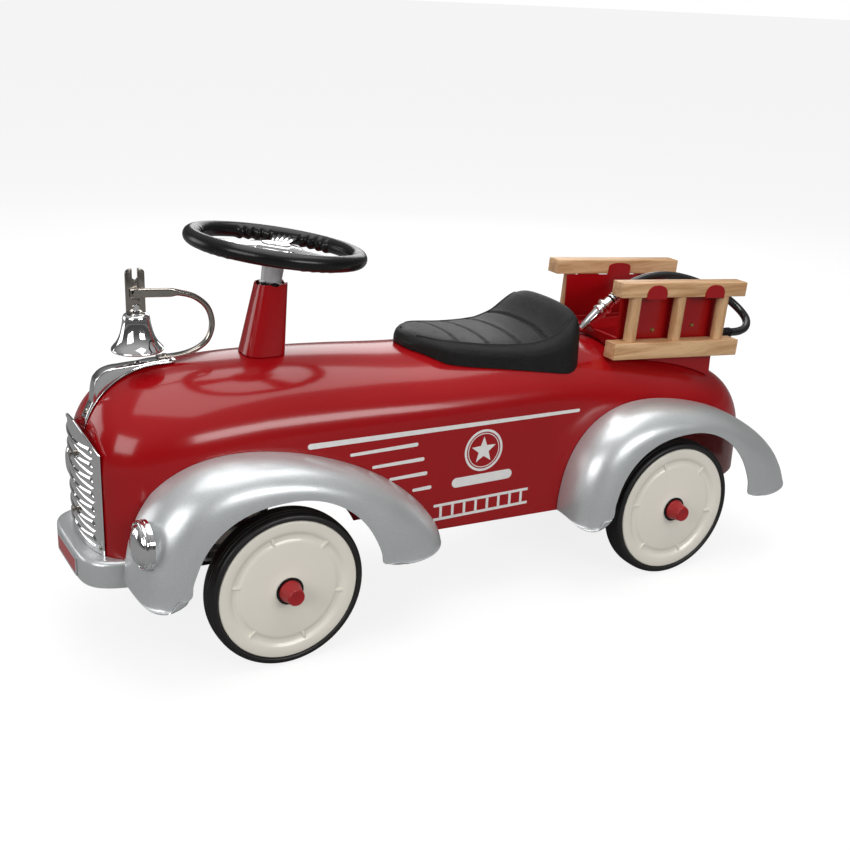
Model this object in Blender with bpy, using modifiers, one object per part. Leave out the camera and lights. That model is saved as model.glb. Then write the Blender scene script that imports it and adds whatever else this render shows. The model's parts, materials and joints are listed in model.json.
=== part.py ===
"""Metal foot-to-floor ride-on fire car: pressed body, four fenders, steered front wheels, swinging bell,
moulded saddle, two lift-off wooden ladders and a rubber hose.

Metres, +Z up. The car faces -Y and its left side is +X. Everything is placed from the empty "car",
which stands on the ground under the middle of the front axle.
"""

import math

import bmesh
import bpy
from mathutils import Matrix, Vector

# Driving dimensions
GAP = 0.0003  # between pieces that touch
WHEELBASE = 0.439
FRONT_OVERHANG = 0.166  # front axle to the face of the plate on the bumper
TAIL_OVERHANG = 0.167  # rear axle to the end of the body
TYRE_RADIUS = 0.074
TYRE_WIDTH = 0.025
WHEEL_OUTER_X = 0.1205  # outer face of each tyre
SHEET = 0.0010  # body metal

# Body
BODY_HALF_WIDTH = 0.083
NOSE_Y = -0.1500
NOSE_POWER = 3.5
TAIL_START_Y = 0.450
TAIL_Y = WHEELBASE + TAIL_OVERHANG
TAIL_POWER = 2.3
CROWN_POWER = 2.15
SPINE_FRONT_Y = -0.075
SPINE_REAR_Y = 0.570
RIDGE = ((-0.09, 0.2600), (0.0, 0.2605), (0.05, 0.2590), (0.10, 0.2560), (0.17, 0.2505), (0.25, 0.2475),
         (0.32, 0.2445), (0.378, 0.2390), (0.45, 0.2240), (0.50, 0.2065), (0.53, 0.1930), (0.55, 0.1815),
         (0.57, 0.1670))
SHOULDER = ((-0.15, 0.178), (0.0, 0.195), (0.30, 0.195), (0.45, 0.160), (0.61, 0.105))
BOTTOM_EDGE = ((-0.15, 0.0952), (0.61, 0.0716))
ARCH_RADIUS = 0.090
ARCH_CENTRE_Z = 0.072

# Fenders
FENDER_SHEET = 0.0010
FENDER_OUTER_X = 0.1300
FENDER_POWER = 2.4
FENDER_FLANGE = 0.010
FENDER_PEAK_Y = -0.034  # of the crest, from the axle
FENDER_RISE = 0.1162
FENDER_FRONT_REACH = 0.101
FENDER_FRONT_POWER = 2.4
FENDER_REAR_REACH = 0.202
FENDER_REAR_POWER = 1.68
FENDER_LIP_RADIUS = TYRE_RADIUS + 0.018
FENDER_FOOT = math.radians(12)  # height on the lip, as an angle, where its foot begins to turn outwards
FENDER_LOWER_EDGE = 0.081
REAR_FENDER_DROP = 0.009
REAR_FENDER_SHIFT = 0.010
FENDER_INNER_LEAST_X = 0.0745
CORNER_LIFT = (0.009, 0.004)  # rounding of the corners at the front and the rear end
HEADLIGHT_RADIUS = 0.0215
HEADLIGHT_AT = (0.1055, 0.1375)  # x and z of its centre
HEADLIGHT_DEPTH = 0.0155

# Bumper and grille
BUMPER_BOTTOM = 0.0819
BUMPER_TOP = 0.1062
BUMPER_HALF_WIDTH = 0.0735
BUMPER_POWER = 5.5
BUMPER_END_Y = -0.1280
BUMPER_SHEET = 0.0015
PLATE_HALF_WIDTH = 0.0315
PLATE_THICKNESS = 0.0009
BUMPER_REACH = FRONT_OVERHANG - PLATE_THICKNESS - GAP
GRILLE_TOP = 0.220
GRILLE_HALF_WIDTH = 0.0500
GRILLE_SHEET = 0.0012
LOUVRE_COUNT = 7
LOUVRE_PITCH = 0.0136
LOUVRE_LOWEST = 0.1165
LOUVRE_REACH = 0.0405
LOUVRE_SECTION = ((0.0, -0.0042), (0.0036, -0.0030), (0.0030, 0.0010), (0.0014, 0.0042), (0.0, 0.0046))
GRILLE_SCREW_Z = (0.134, 0.187)
SCREW_RADIUS = 0.0022

# Wheels and axles
DISC_RADIUS = 0.0663
AXLE_RADIUS = 0.0040
AXLE_CLEARANCE = 0.0005
AXLE_Z = TYRE_RADIUS
AXLE_END_X = 0.1300
CAP_LENGTH = 0.0150
CAP_BASE_RADIUS = 0.0106
CAP_END_RADIUS = 0.0078
KINGPIN_X = 0.0680
KINGPIN_RADIUS = 0.0040
KNUCKLE_SIDE = 0.0150
STEERING_ARM = 0.028
ARM_THICKNESS = 0.003
TIE_PIN_RADIUS = 0.0022
TIE_HOLE_CLEARANCE = 0.0010
TIE_END_RADIUS = 0.0070

# Steering
COLUMN_LEAN = math.radians(8.5)
STEERING_CENTRE = (0.0377, 0.358)  # y and z
RIM_RADIUS = 0.0765
RIM_TUBE = 0.0073
SHAFT_RADIUS = 0.0050
SHAFT_CLEARANCE = 0.0010
BOSS_RADIUS = 0.0125
BOSS_LENGTH = 0.0300
SPOKE_THICKNESS = 0.0040
COVER_TOP_Z = 0.3250
COVER_BASE_RADIUS = 0.0201
COVER_TOP_RADIUS = 0.0142

# Bell
BELL_Y = -0.0934
BELL_RIM_Z = 0.2735
BELL_TOP_Z = 0.3075
BELL_RIM_RADIUS = 0.0228
BELL_WALL = 0.0016
PIVOT_Z = 0.3260
STRAP_WIDTH = 0.0170
STRAP_THICKNESS = 0.0020
STRAP_TOP_Z = 0.3470
BELL_BOLT_RADIUS = 0.0022
CLAPPER_PIVOT_Z = 0.3010
CLAPPER_BALL_RADIUS = 0.0045

# Saddle
SEAT_FRONT_Y = 0.168
SEAT_REAR_Y = 0.345
SEAT_HALF_WIDTH = 0.0700

# Ladders and their carrier
PANEL_X = 0.0480  # outer face of each side panel
PANEL_FRONT_Y = 0.400
PANEL_REAR_Y = 0.533
CARRIER_SHEET = 0.0012
LADDER_LENGTH = 0.169
LADDER_MIDDLE_Y = 0.472
LADDER_TILT = math.radians(4.3)
RAIL_WIDTH = 0.0180
TOP_RAIL_HEIGHT = 0.0155
LOWER_RAIL_HEIGHT = 0.0175
RAIL_SPACING = 0.0640  # middle to middle
TOP_RAIL_Z = 0.2952  # middle of the top rail at the ladder's middle
RUNG_RADIUS = 0.0065
RUNG_SPACING = 0.060
TAB_WIDTH = 0.026
TAB_SPACING = 0.079
INNER_TAB_WIDTH = 0.030

# Hose
HOSE_RADIUS = 0.0045
HOSE_ROUTE = ((0.000, 0.4250, 0.2720), (0.000, 0.4420, 0.2850), (0.000, 0.4680, 0.2935), (0.001, 0.4980, 0.2945),
              (0.002, 0.5280, 0.2885), (0.005, 0.5560, 0.2780), (0.010, 0.5800, 0.2650), (0.017, 0.5950, 0.2525),
              (0.026, 0.6000, 0.2420), (0.033, 0.5940, 0.2350), (0.0360, 0.5820, 0.2320), (0.0360, 0.5690, 0.2320))
HOSE_POINTS = 32
NOZZLE_TIP = (0.0, 0.3880, 0.2445)

REAR_OVERHANG = REAR_FENDER_SHIFT + FENDER_PEAK_Y + FENDER_REAR_REACH  # rear axle to the ends of the rear fenders
CAR_Y = FRONT_OVERHANG - (FRONT_OVERHANG + WHEELBASE + REAR_OVERHANG) / 2


def clear_scene():
    for obj in list(bpy.data.objects):
        bpy.data.objects.remove(obj, do_unlink=True)


clear_scene()
PARTS = bpy.data.collections.new("ride_on_fire_car")
CUTTERS = bpy.data.collections.new("cutters")
bpy.context.scene.collection.children.link(PARTS)
bpy.context.scene.collection.children.link(CUTTERS)
CAR = bpy.data.objects.new("car", None)
CAR.location = (0, CAR_Y, 0)
PARTS.objects.link(CAR)


def material(name, colour, roughness, metallic=0.0):
    made = bpy.data.materials.new(name)
    made.use_nodes = True
    shader = made.node_tree.nodes["Principled BSDF"]
    shader.inputs["Base Color"].default_value = (*colour, 1)
    shader.inputs["Roughness"].default_value = roughness
    shader.inputs["Metallic"].default_value = metallic
    return made


RED_PAINT = material("red_paint", (0.42, 0.008, 0.012), 0.25)
SILVER_PAINT = material("silver_paint", (0.55, 0.58, 0.60), 0.32, 0.7)
CHROME = material("chrome", (0.82, 0.82, 0.82), 0.08, 1.0)
STEEL = material("zinc_steel", (0.45, 0.45, 0.46), 0.4, 1.0)
CREAM = material("cream_enamel", (0.80, 0.76, 0.64), 0.3)
TYRE_RUBBER = material("tyre_rubber", (0.012, 0.012, 0.012), 0.6)
CAP_RUBBER = material("red_cap_rubber", (0.45, 0.015, 0.02), 0.45)
BLACK_PLASTIC = material("black_plastic", (0.012, 0.012, 0.013), 0.3)
GREY_PLASTIC = material("grey_plastic", (0.55, 0.56, 0.57), 0.4)
SEAT_SKIN = material("seat_skin", (0.014, 0.014, 0.015), 0.5)
WOOD = material("beech", (0.72, 0.46, 0.24), 0.5)
HOSE_RUBBER = material("hose_rubber", (0.01, 0.01, 0.011), 0.25)
PLATE_RED = material("plate_red", (0.50, 0.02, 0.02), 0.35)


# Shared tools

def place(obj, finish, parent=CAR, smooth=35):
    """Puts an object drawn in the car's own coordinates in the car, under the car or an axis empty of it."""
    PARTS.objects.link(obj)
    obj.parent = parent
    if parent is not CAR:
        obj.location = -parent.location
    if obj.type == "MESH":
        obj.data.shade_smooth()
        obj.data.set_sharp_from_angle(angle=math.radians(smooth))
    obj.data.materials.clear()
    obj.data.materials.append(finish)
    return obj


def mesh_from(name, build):
    mesh = bpy.data.meshes.new(name)
    bm = bmesh.new()
    build(bm)
    bm.to_mesh(mesh)
    bm.free()
    return bpy.data.objects.new(name, mesh)


def between(table, at):
    """Value at a place on the straight lines between (place, value) pairs, level beyond both ends."""
    if at <= table[0][0]:
        return table[0][1]
    for low, high in zip(table, table[1:]):
        if at <= high[0]:
            share = (at - low[0]) / (high[0] - low[0])
            return low[1] + (high[1] - low[1]) * share
    return table[-1][1]


def power(value, exponent):
    return math.copysign(abs(value) ** exponent, value)


def surface(bm, rows, flip=False, closed=False):
    """Quads between rows of points; closed joins each row's end to its start."""
    verts = [[bm.verts.new(point) for point in row] for row in rows]
    for first, second in zip(verts, verts[1:]):
        count = len(first)
        for i in range(count if closed else count - 1):
            j = (i + 1) % count
            face = (first[i], first[j], second[j], second[i])
            bm.faces.new(face[::-1] if flip else face)
    return verts


def loft(name, rings):
    """A closed solid through rings of points, capped at both ends."""
    def build(bm):
        verts = surface(bm, rings, closed=True)
        bm.faces.new(verts[0])
        bm.faces.new(verts[-1][::-1])
        bmesh.ops.recalc_face_normals(bm, faces=bm.faces)
    return mesh_from(name, build)


def box(name, low, high):
    def build(bm):
        bmesh.ops.create_cube(bm, size=1)
        low_corner = Vector(low)
        size = Vector(high) - low_corner
        for vert in bm.verts:
            vert.co = low_corner + Vector((vert.co[i] + 0.5) * size[i] for i in range(3))
    return mesh_from(name, build)


def rod(name, start, end, radius, end_radius=None, sides=16):
    start, end = Vector(start), Vector(end)

    def build(bm):
        bmesh.ops.create_cone(bm, cap_ends=True, segments=sides, radius1=radius,
                              radius2=radius if end_radius is None else end_radius, depth=(end - start).length)
        turn = Vector((0, 0, 1)).rotation_difference(end - start).to_matrix().to_4x4()
        bmesh.ops.transform(bm, matrix=Matrix.Translation((start + end) / 2) @ turn, verts=bm.verts)
    return mesh_from(name, build)


def turned(name, profile, steps=32):
    """A turned solid: the profile's (radius, height) points run down its outer side; the mesh is made real."""
    mesh = bpy.data.meshes.new(name)
    mesh.from_pydata([(r, 0, z) for r, z in profile], [(i, i + 1) for i in range(len(profile) - 1)], [])
    obj = bpy.data.objects.new(name, mesh)
    screw = obj.modifiers.new("turn", "SCREW")
    screw.steps = steps
    screw.render_steps = steps
    screw.use_merge_vertices = True
    screw.merge_threshold = 0.00001
    return obj


def as_mesh(obj, name, finish, parent=CAR, matrix=None):
    """The evaluated shape of a helper object as a plain mesh object, with the helper removed."""
    if not obj.users_collection:
        CUTTERS.objects.link(obj)
    bpy.context.view_layer.update()
    graph = bpy.context.evaluated_depsgraph_get()
    mesh = bpy.data.meshes.new_from_object(obj.evaluated_get(graph))
    mesh.name = name
    bm = bmesh.new()
    bm.from_mesh(mesh)
    bmesh.ops.remove_doubles(bm, verts=bm.verts, dist=0.000001)
    if matrix is not None:
        bmesh.ops.transform(bm, matrix=matrix, verts=bm.verts)
    bm.to_mesh(mesh)
    bm.free()
    bpy.data.objects.remove(obj, do_unlink=True)
    made = bpy.data.objects.new(name, mesh)
    return place(made, finish, parent) if finish else made


def cutter(obj, matrix=None):
    if not obj.users_collection:
        CUTTERS.objects.link(obj)
    obj.parent = CAR
    obj.hide_render = True
    obj.display_type = "WIRE"
    if matrix is not None:
        obj.data.transform(matrix)
    return obj


def combine(obj, other, operation):
    boolean = obj.modifiers.new(other.name, "BOOLEAN")
    boolean.operation = operation
    boolean.object = other
    boolean.solver = "EXACT"


def cut(obj, other):
    combine(obj, cutter(other), "DIFFERENCE")


def join(obj, other):
    combine(obj, cutter(other), "UNION")


def ring_of(centre, across, along, half_across, half_along, count=12, exponent=2.0):
    """Points of a rounded section round a centre, on the two given directions."""
    points = []
    for i in range(count):
        angle = 2 * math.pi * i / count
        points.append(Vector(centre) + Vector(across) * half_across * power(math.cos(angle), 2 / exponent)
                      + Vector(along) * half_along * power(math.sin(angle), 2 / exponent))
    return points


def smooth_route(points, count):
    """Evenly spaced points along a Catmull-Rom curve through the given points."""
    guides = [Vector(p) for p in points]
    guides = [2 * guides[0] - guides[1]] + guides + [2 * guides[-1] - guides[-2]]
    fine = []
    for a, b, c, d in zip(guides, guides[1:], guides[2:], guides[3:]):
        for i in range(24):
            t = i / 24
            fine.append(0.5 * (2 * b + (c - a) * t + (2 * a - 5 * b + 4 * c - d) * t * t
                               + (3 * b - a - 3 * c + d) * t ** 3))
    fine.append(guides[-2])
    lengths = [0.0]
    for a, b in zip(fine, fine[1:]):
        lengths.append(lengths[-1] + (b - a).length)
    route = []
    at = 0
    for i in range(count):
        want = lengths[-1] * i / (count - 1)
        while at < len(fine) - 2 and lengths[at + 1] < want:
            at += 1
        share = (want - lengths[at]) / (lengths[at + 1] - lengths[at])
        route.append(fine[at].lerp(fine[at + 1], min(share, 1)))
    return route


# Body shell

def body_half_width(y):
    """Outer half width of the body at a place along its length."""
    if y < 0:
        return BODY_HALF_WIDTH * max(0.0, 1 - min(1, y / NOSE_Y) ** NOSE_POWER) ** (1 / NOSE_POWER)
    if y > TAIL_START_Y:
        share = min(1, (y - TAIL_START_Y) / (TAIL_Y - TAIL_START_Y))
        return BODY_HALF_WIDTH * (1 - share ** TAIL_POWER) ** (1 / TAIL_POWER)
    return BODY_HALF_WIDTH


def tail_station(share):
    """(x, y, spine y) of the plan outline at a share of the way round the tail."""
    angle = math.pi / 2 * share
    x = 0.0 if share == 1 else BODY_HALF_WIDTH * math.cos(angle) ** (2 / TAIL_POWER)
    y = TAIL_START_Y + (TAIL_Y - TAIL_START_Y) * math.sin(angle) ** (2 / TAIL_POWER)
    return x, y, TAIL_START_Y + (SPINE_REAR_Y - TAIL_START_Y) * share


def body_top(x, y):
    """Height of the outer body surface behind its nose; on the tail the station through (x, y) is searched for."""
    edge_x, edge_y, spine = BODY_HALF_WIDTH, y, y
    if y > TAIL_START_Y:
        low, high = 0.0, 1.0
        for _ in range(40):
            share = (low + high) / 2
            edge_x, edge_y, spine = tail_station(share)
            reached = spine + (edge_y - spine) * min(1, abs(x) / max(edge_x, 0.0001))
            low, high = (share, high) if reached < y else (low, share)
    across = min(1, abs(x) / max(edge_x, 0.0001))
    shoulder = between(SHOULDER, edge_y)
    return shoulder + (between(RIDGE, spine) - shoulder) * (1 - across ** CROWN_POWER) ** (1 / CROWN_POWER)


def body_stations():
    """(x, y, spine y) round half of the body's plan, from the nose's middle to the tail's."""
    stations = []
    nose_steps, side_steps, tail_steps = 8, 8, 7
    for i in range(nose_steps):
        angle = math.pi / 2 * i / nose_steps
        stations.append((BODY_HALF_WIDTH * math.sin(angle) ** (2 / NOSE_POWER),
                         NOSE_Y * math.cos(angle) ** (2 / NOSE_POWER),
                         SPINE_FRONT_Y * (1 - i / nose_steps)))
    for i in range(side_steps):
        y = TAIL_START_Y * i / side_steps
        stations.append((BODY_HALF_WIDTH, y, y))
    stations += [tail_station(i / tail_steps) for i in range(tail_steps + 1)]
    return stations


def make_body():
    side_rows, crown_rows = 2, 7

    def build(bm):
        rows = []
        for x, y, spine in body_stations():
            shoulder, low = between(SHOULDER, y), between(BOTTOM_EDGE, y)
            row = [Vector((x, y, low + (shoulder - low) * i / side_rows)) for i in range(side_rows)]
            for i in range(crown_rows + 1):
                angle = math.pi / 2 * i / crown_rows
                out = 0.0 if i == crown_rows else math.cos(angle) ** (2 / CROWN_POWER)
                rise = math.sin(angle) ** (2 / CROWN_POWER)
                row.append(Vector((x * out, spine + (y - spine) * out,
                                   shoulder + (between(RIDGE, spine) - shoulder) * rise)))
            rows.append(row)
        surface(bm, rows, flip=True)
    body = mesh_from("body_shell", build)
    place(body, RED_PAINT, smooth=40)
    mirror = body.modifiers.new("both_sides", "MIRROR")
    mirror.use_clip = True
    mirror.merge_threshold = 0.0001
    thicken = body.modifiers.new("sheet", "SOLIDIFY")
    thicken.thickness = SHEET
    thicken.offset = -1
    cut(body, rod("front_arch_cutter", (-0.15, 0, ARCH_CENTRE_Z), (0.15, 0, ARCH_CENTRE_Z), ARCH_RADIUS, sides=48))
    cut(body, rod("column_hole_cutter", column_point(0.20), column_point(0.30), SHAFT_RADIUS + 0.004, sides=24))
    cut(body, rod("rear_axle_notch", (-0.1, WHEELBASE, AXLE_Z), (0.1, WHEELBASE, AXLE_Z), AXLE_RADIUS + 0.0015))
    screw_z = GRILLE_SCREW_Z[0]
    cut(body, rod("nose_screw_cutter", (0, NOSE_Y - 0.02, screw_z), (0, NOSE_Y + 0.02, screw_z), SCREW_RADIUS + GAP))
    return body


# Steering column line

def column_point(height):
    """The point on the steering column's axis at a height above the ground."""
    return Vector((0, STEERING_CENTRE[0] + (height - STEERING_CENTRE[1]) * math.tan(COLUMN_LEAN), height))


COLUMN_AXIS = Vector((0, math.sin(COLUMN_LEAN), math.cos(COLUMN_LEAN)))


# Fenders

def crest_at(polar, middle, shift, base):
    """(y, z) of a fender's crest in a direction from the middle of its lip, where 0 is level forwards."""
    low, high = 0.0, math.pi
    for _ in range(40):
        turn = (low + high) / 2
        reach, exponent = ((FENDER_FRONT_REACH, FENDER_FRONT_POWER) if turn < math.pi / 2
                           else (FENDER_REAR_REACH, FENDER_REAR_POWER))
        crest = Vector((FENDER_PEAK_Y + shift - reach * power(math.cos(turn), 2 / exponent),
                        base + FENDER_RISE * math.sin(turn) ** (2 / exponent)))
        out = crest - middle
        low, high = (turn, high) if math.atan2(out.y, -out.x) < polar else (low, turn)
    return crest


def lip_at(polar, middle):
    exponent = FENDER_FRONT_POWER if polar < math.pi / 2 else 2.0
    return middle + FENDER_LIP_RADIUS * Vector((-power(math.cos(polar), 2 / exponent),
                                                math.sin(polar) ** (2 / exponent)))


def fender_outline(share, shift, drop):
    """(crest, lip) as (y, z) pairs at a share of the way from the front end to the rear end."""
    base = FENDER_LOWER_EDGE - drop
    middle = Vector((-0.002 + shift * 0.6, TYRE_RADIUS - 0.002 - drop * 0.3))
    first = math.atan2(base - middle.y, middle.x - (FENDER_PEAK_Y + shift - FENDER_FRONT_REACH))
    last = math.atan2(base - middle.y, middle.x - (FENDER_PEAK_Y + shift + FENDER_REAR_REACH))
    polar = first + (last - first) * share
    crest = crest_at(polar, middle, shift, base)
    if FENDER_FOOT < polar < math.pi - FENDER_FOOT:
        return crest, lip_at(polar, middle)
    if share < 0.5:
        way = (polar - first) / (FENDER_FOOT - first)
        start = lip_at(FENDER_FOOT, middle)
        end_y = middle.x - FENDER_LIP_RADIUS - 0.012
    else:
        way = (last - polar) / (last - math.pi + FENDER_FOOT)
        start = lip_at(math.pi - FENDER_FOOT, middle)
        end_y = middle.x + FENDER_LIP_RADIUS + 0.016
    inward = (1 - (1 - way) ** 2) ** 0.5
    up = 1 - (1 - way ** 2) ** 0.5
    return crest, Vector((end_y + (start.x - end_y) * inward, base + (start.y - base) * up))


def fender_inner_x(y):
    return max(body_half_width(y) + GAP * 2, FENDER_INNER_LEAST_X)


def make_fender(name, axle_y, shift, drop, side):
    round_steps = 6
    base = FENDER_LOWER_EDGE - drop
    ends = (0.0, 0.010, 0.022, 0.040)
    shares = list(ends) + [i / 16 for i in range(1, 16)] + [1 - share for share in reversed(ends)]

    def rounded(at, hold, share):
        """The height of a point near an end, with the end's two corners rounded up."""
        lift = CORNER_LIFT[0] if share < 0.5 else CORNER_LIFT[1]
        return at.y + lift * abs(2 * hold - 1) ** 3 * max(0.0, 1 - (at.y - base) / 0.030)

    def build(bm):
        rows = []
        for share in shares:
            crest, lip = fender_outline(share, shift, drop)
            crest.x += axle_y
            lip.x += axle_y
            inner_x = fender_inner_x(crest.x)
            inward = (lip - crest).normalized()
            flange = crest + inward * min(FENDER_FLANGE, (lip - crest).length * 0.6)
            flange_x = max(fender_inner_x(flange.x), inner_x)
            row = [Vector((flange_x, flange.x, rounded(flange, 1.0, share)))]
            for k in range(round_steps + 1):
                angle = math.pi / 2 * k / round_steps
                out = 0.0 if k == 0 else math.sin(angle) ** (2 / FENDER_POWER)
                hold = 0.0 if k == round_steps else math.cos(angle) ** (2 / FENDER_POWER)
                at = lip + (crest - lip) * hold
                row.append(Vector((inner_x + (FENDER_OUTER_X - inner_x) * out, at.x, rounded(at, hold, share))))
            rows.append([Vector((point.x * side, point.y, point.z)) for point in row])
        surface(bm, rows, flip=side < 0)
    fender = mesh_from(name, build)
    place(fender, SILVER_PAINT, smooth=50)
    thicken = fender.modifiers.new("sheet", "SOLIDIFY")
    thicken.thickness = FENDER_SHEET
    thicken.offset = -1
    return fender


def make_fenders():
    for side, word in ((1, "left"), (-1, "right")):
        make_fender(f"front_fender_{word}", 0.0, 0.0, 0.0, side)
        make_fender(f"rear_fender_{word}", WHEELBASE, REAR_FENDER_SHIFT, REAR_FENDER_DROP, side)


def front_fender_face(x, z):
    """Y of the front fender's outer surface at a place on its front, found along its section."""
    best = None
    for i in range(200):
        crest, lip = fender_outline(0.5 * i / 200, 0.0, 0.0)
        inner_x = fender_inner_x(crest.x)
        out = min(1, max(0, (x - inner_x) / (FENDER_OUTER_X - inner_x)))
        hold = (1 - out ** FENDER_POWER) ** (1 / FENDER_POWER)
        at = lip + (crest - lip) * hold
        if best is None or abs(at.y - z) < best[0]:
            best = (abs(at.y - z), at.x)
    return best[1]


def make_headlights():
    x, z = HEADLIGHT_AT
    seat_y = front_fender_face(x, z) - 0.0005
    profile = [(0.0, HEADLIGHT_DEPTH)]
    for i in range(1, 7):
        angle = math.pi / 2 * i / 6
        profile.append((HEADLIGHT_RADIUS * 0.78 * math.sin(angle),
                        HEADLIGHT_DEPTH - 0.006 * (1 - math.cos(angle))))
    profile += [(HEADLIGHT_RADIUS * 0.90, HEADLIGHT_DEPTH - 0.0065), (HEADLIGHT_RADIUS, HEADLIGHT_DEPTH - 0.010),
                (HEADLIGHT_RADIUS * 0.95, 0.0045), (HEADLIGHT_RADIUS * 0.55, 0.0), (0.0, 0.0)]
    for side, word in ((1, "left"), (-1, "right")):
        matrix = Matrix.Translation((side * x, seat_y, z)) @ Matrix.Rotation(math.radians(90), 4, "X")
        as_mesh(turned("lamp_profile", profile, steps=20), f"headlight_{word}", CHROME, matrix=matrix)
        shell = bpy.data.objects[f"front_fender_{word}"]
        pocket = as_mesh(turned("pocket_profile", [(0.0, 0.03), (HEADLIGHT_RADIUS + 0.0004, 0.03),
                                                   (HEADLIGHT_RADIUS + 0.0004, -0.0008), (0.0, -0.0008)], steps=20),
                         f"lamp_pocket_{word}", None, matrix=matrix)
        cut(shell, pocket)


# Bumper and grille

def bumper_face_y(x):
    return -BUMPER_REACH * (1 - (abs(x) / BUMPER_HALF_WIDTH) ** BUMPER_POWER) ** (1 / BUMPER_POWER)


def make_bumper():
    last = math.acos((abs(BUMPER_END_Y) / BUMPER_REACH) ** (BUMPER_POWER / 2))
    end_x = body_half_width(BUMPER_END_Y) + 0.001
    steps = 12

    def build(bm):
        rows = []
        for i in range(2 * steps + 1):
            share = (i - steps) / steps
            outer_x = BUMPER_HALF_WIDTH * power(math.sin(last * share), 2 / BUMPER_POWER)
            outer = Vector((outer_x, bumper_face_y(outer_x)))
            inner_x = end_x * power(share, 0.8)
            inner = Vector((inner_x, nose_front(inner_x) - 0.0012))
            rows.append([Vector((outer.x * scale + inner.x * (1 - scale), outer.y * scale + inner.y * (1 - scale), z))
                         for scale, z in ((1, BUMPER_BOTTOM), (1, BUMPER_TOP - 0.004), (0.9, BUMPER_TOP - 0.0008),
                                          (0.7, BUMPER_TOP), (0, BUMPER_TOP))])
        surface(bm, rows, flip=True)
    bumper = mesh_from("bumper", build)
    place(bumper, SILVER_PAINT, smooth=50)
    thicken = bumper.modifiers.new("sheet", "SOLIDIFY")
    thicken.thickness = BUMPER_SHEET
    thicken.offset = -1
    return bumper


def make_plate():
    steps = 8

    def build(bm):
        rows = []
        for i in range(2 * steps + 1):
            x = PLATE_HALF_WIDTH * (i - steps) / steps
            rows.append([Vector((x, bumper_face_y(x) - GAP - PLATE_THICKNESS, z))
                         for z in (BUMPER_BOTTOM + 0.001, BUMPER_TOP - 0.0045)])
        surface(bm, rows, flip=True)
    plate = mesh_from("bumper_plate", build)
    place(plate, PLATE_RED)
    thicken = plate.modifiers.new("sheet", "SOLIDIFY")
    thicken.thickness = PLATE_THICKNESS
    thicken.offset = -1
    return plate


def nose_front(x):
    """Y of the body's nose at a place across it."""
    return NOSE_Y * (1 - (abs(x) / BODY_HALF_WIDTH) ** NOSE_POWER) ** (1 / NOSE_POWER)


def grille_y(x):
    """Y of the grille sheet's back face: a plate bowed across, resting on the nose at its edges."""
    edge = nose_front(GRILLE_HALF_WIDTH) - GAP - 0.0005
    middle = NOSE_Y - 0.0026
    return middle + (edge - middle) * (abs(x) / GRILLE_HALF_WIDTH) ** 2.5


def make_grille():
    columns, rows_count = 6, 3
    bottom = BUMPER_TOP + GAP

    def build(bm):
        rows = []
        for i in range(2 * columns + 1):
            x = GRILLE_HALF_WIDTH * (i - columns) / columns
            drop = 0.020 * (abs(x) / GRILLE_HALF_WIDTH) ** 2.2
            top = GRILLE_TOP - drop
            row = []
            for k in range(rows_count + 1):
                z = bottom + (top - bottom) * k / rows_count
                row.append(Vector((x, grille_y(x) - GRILLE_SHEET, z)))
            rows.append(row)
        surface(bm, rows, flip=True)
    grille = mesh_from("grille", build)
    place(grille, CHROME, smooth=50)
    thicken = grille.modifiers.new("sheet", "SOLIDIFY")
    thicken.thickness = GRILLE_SHEET
    thicken.offset = -1
    for i in range(LOUVRE_COUNT):
        z = LOUVRE_LOWEST + LOUVRE_PITCH * i
        rings = []
        for x, taper in ((-LOUVRE_REACH, 0.3), (-0.78 * LOUVRE_REACH, 1), (0, 1), (0.78 * LOUVRE_REACH, 1),
                         (LOUVRE_REACH, 0.3)):
            y = grille_y(x) - GRILLE_SHEET / 2
            rings.append([Vector((x, y - depth * taper, z + height * taper)) for depth, height in LOUVRE_SECTION])
        join(grille, loft(f"louvre_{i}", rings))
    for z in GRILLE_SCREW_Z:
        cut(grille, rod(f"grille_screw_cutter_{z}", (0, NOSE_Y - 0.03, z), (0, NOSE_Y + 0.03, z),
                        SCREW_RADIUS + GAP))
    return grille


def make_grille_screws():
    for z, word in zip(GRILLE_SCREW_Z, ("lower", "upper")):
        depth = 0.012 if word == "lower" else 0.0
        front = grille_y(0) - GRILLE_SHEET - 0.0030
        head = rod(f"grille_screw_{word}", (0, front - 0.0018, z), (0, front - GAP, z), 0.0030, 0.0036, sides=16)
        place(head, STEEL)
        back = NOSE_Y - 0.0003 if word == "upper" else NOSE_Y + depth
        join(head, rod(f"screw_shank_{word}", (0, front - 0.001, z), (0, back, z), SCREW_RADIUS, sides=16))


# Wheels

def tyre_profile():
    half = TYRE_WIDTH / 2
    inner = DISC_RADIUS + GAP
    profile = []
    for i in range(9):
        angle = math.pi * i / 8
        profile.append((inner + (TYRE_RADIUS - inner) * math.sin(angle) ** 0.55, half * power(math.cos(angle), 0.7)))
    profile[0], profile[-1] = (inner, half * 0.80), (inner, -half * 0.80)
    profile.insert(1, (inner + 0.0025, half))
    profile.insert(-1, (inner + 0.0025, -half))
    profile.pop(2)
    profile.pop(-3)
    return profile + [profile[0]]


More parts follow.
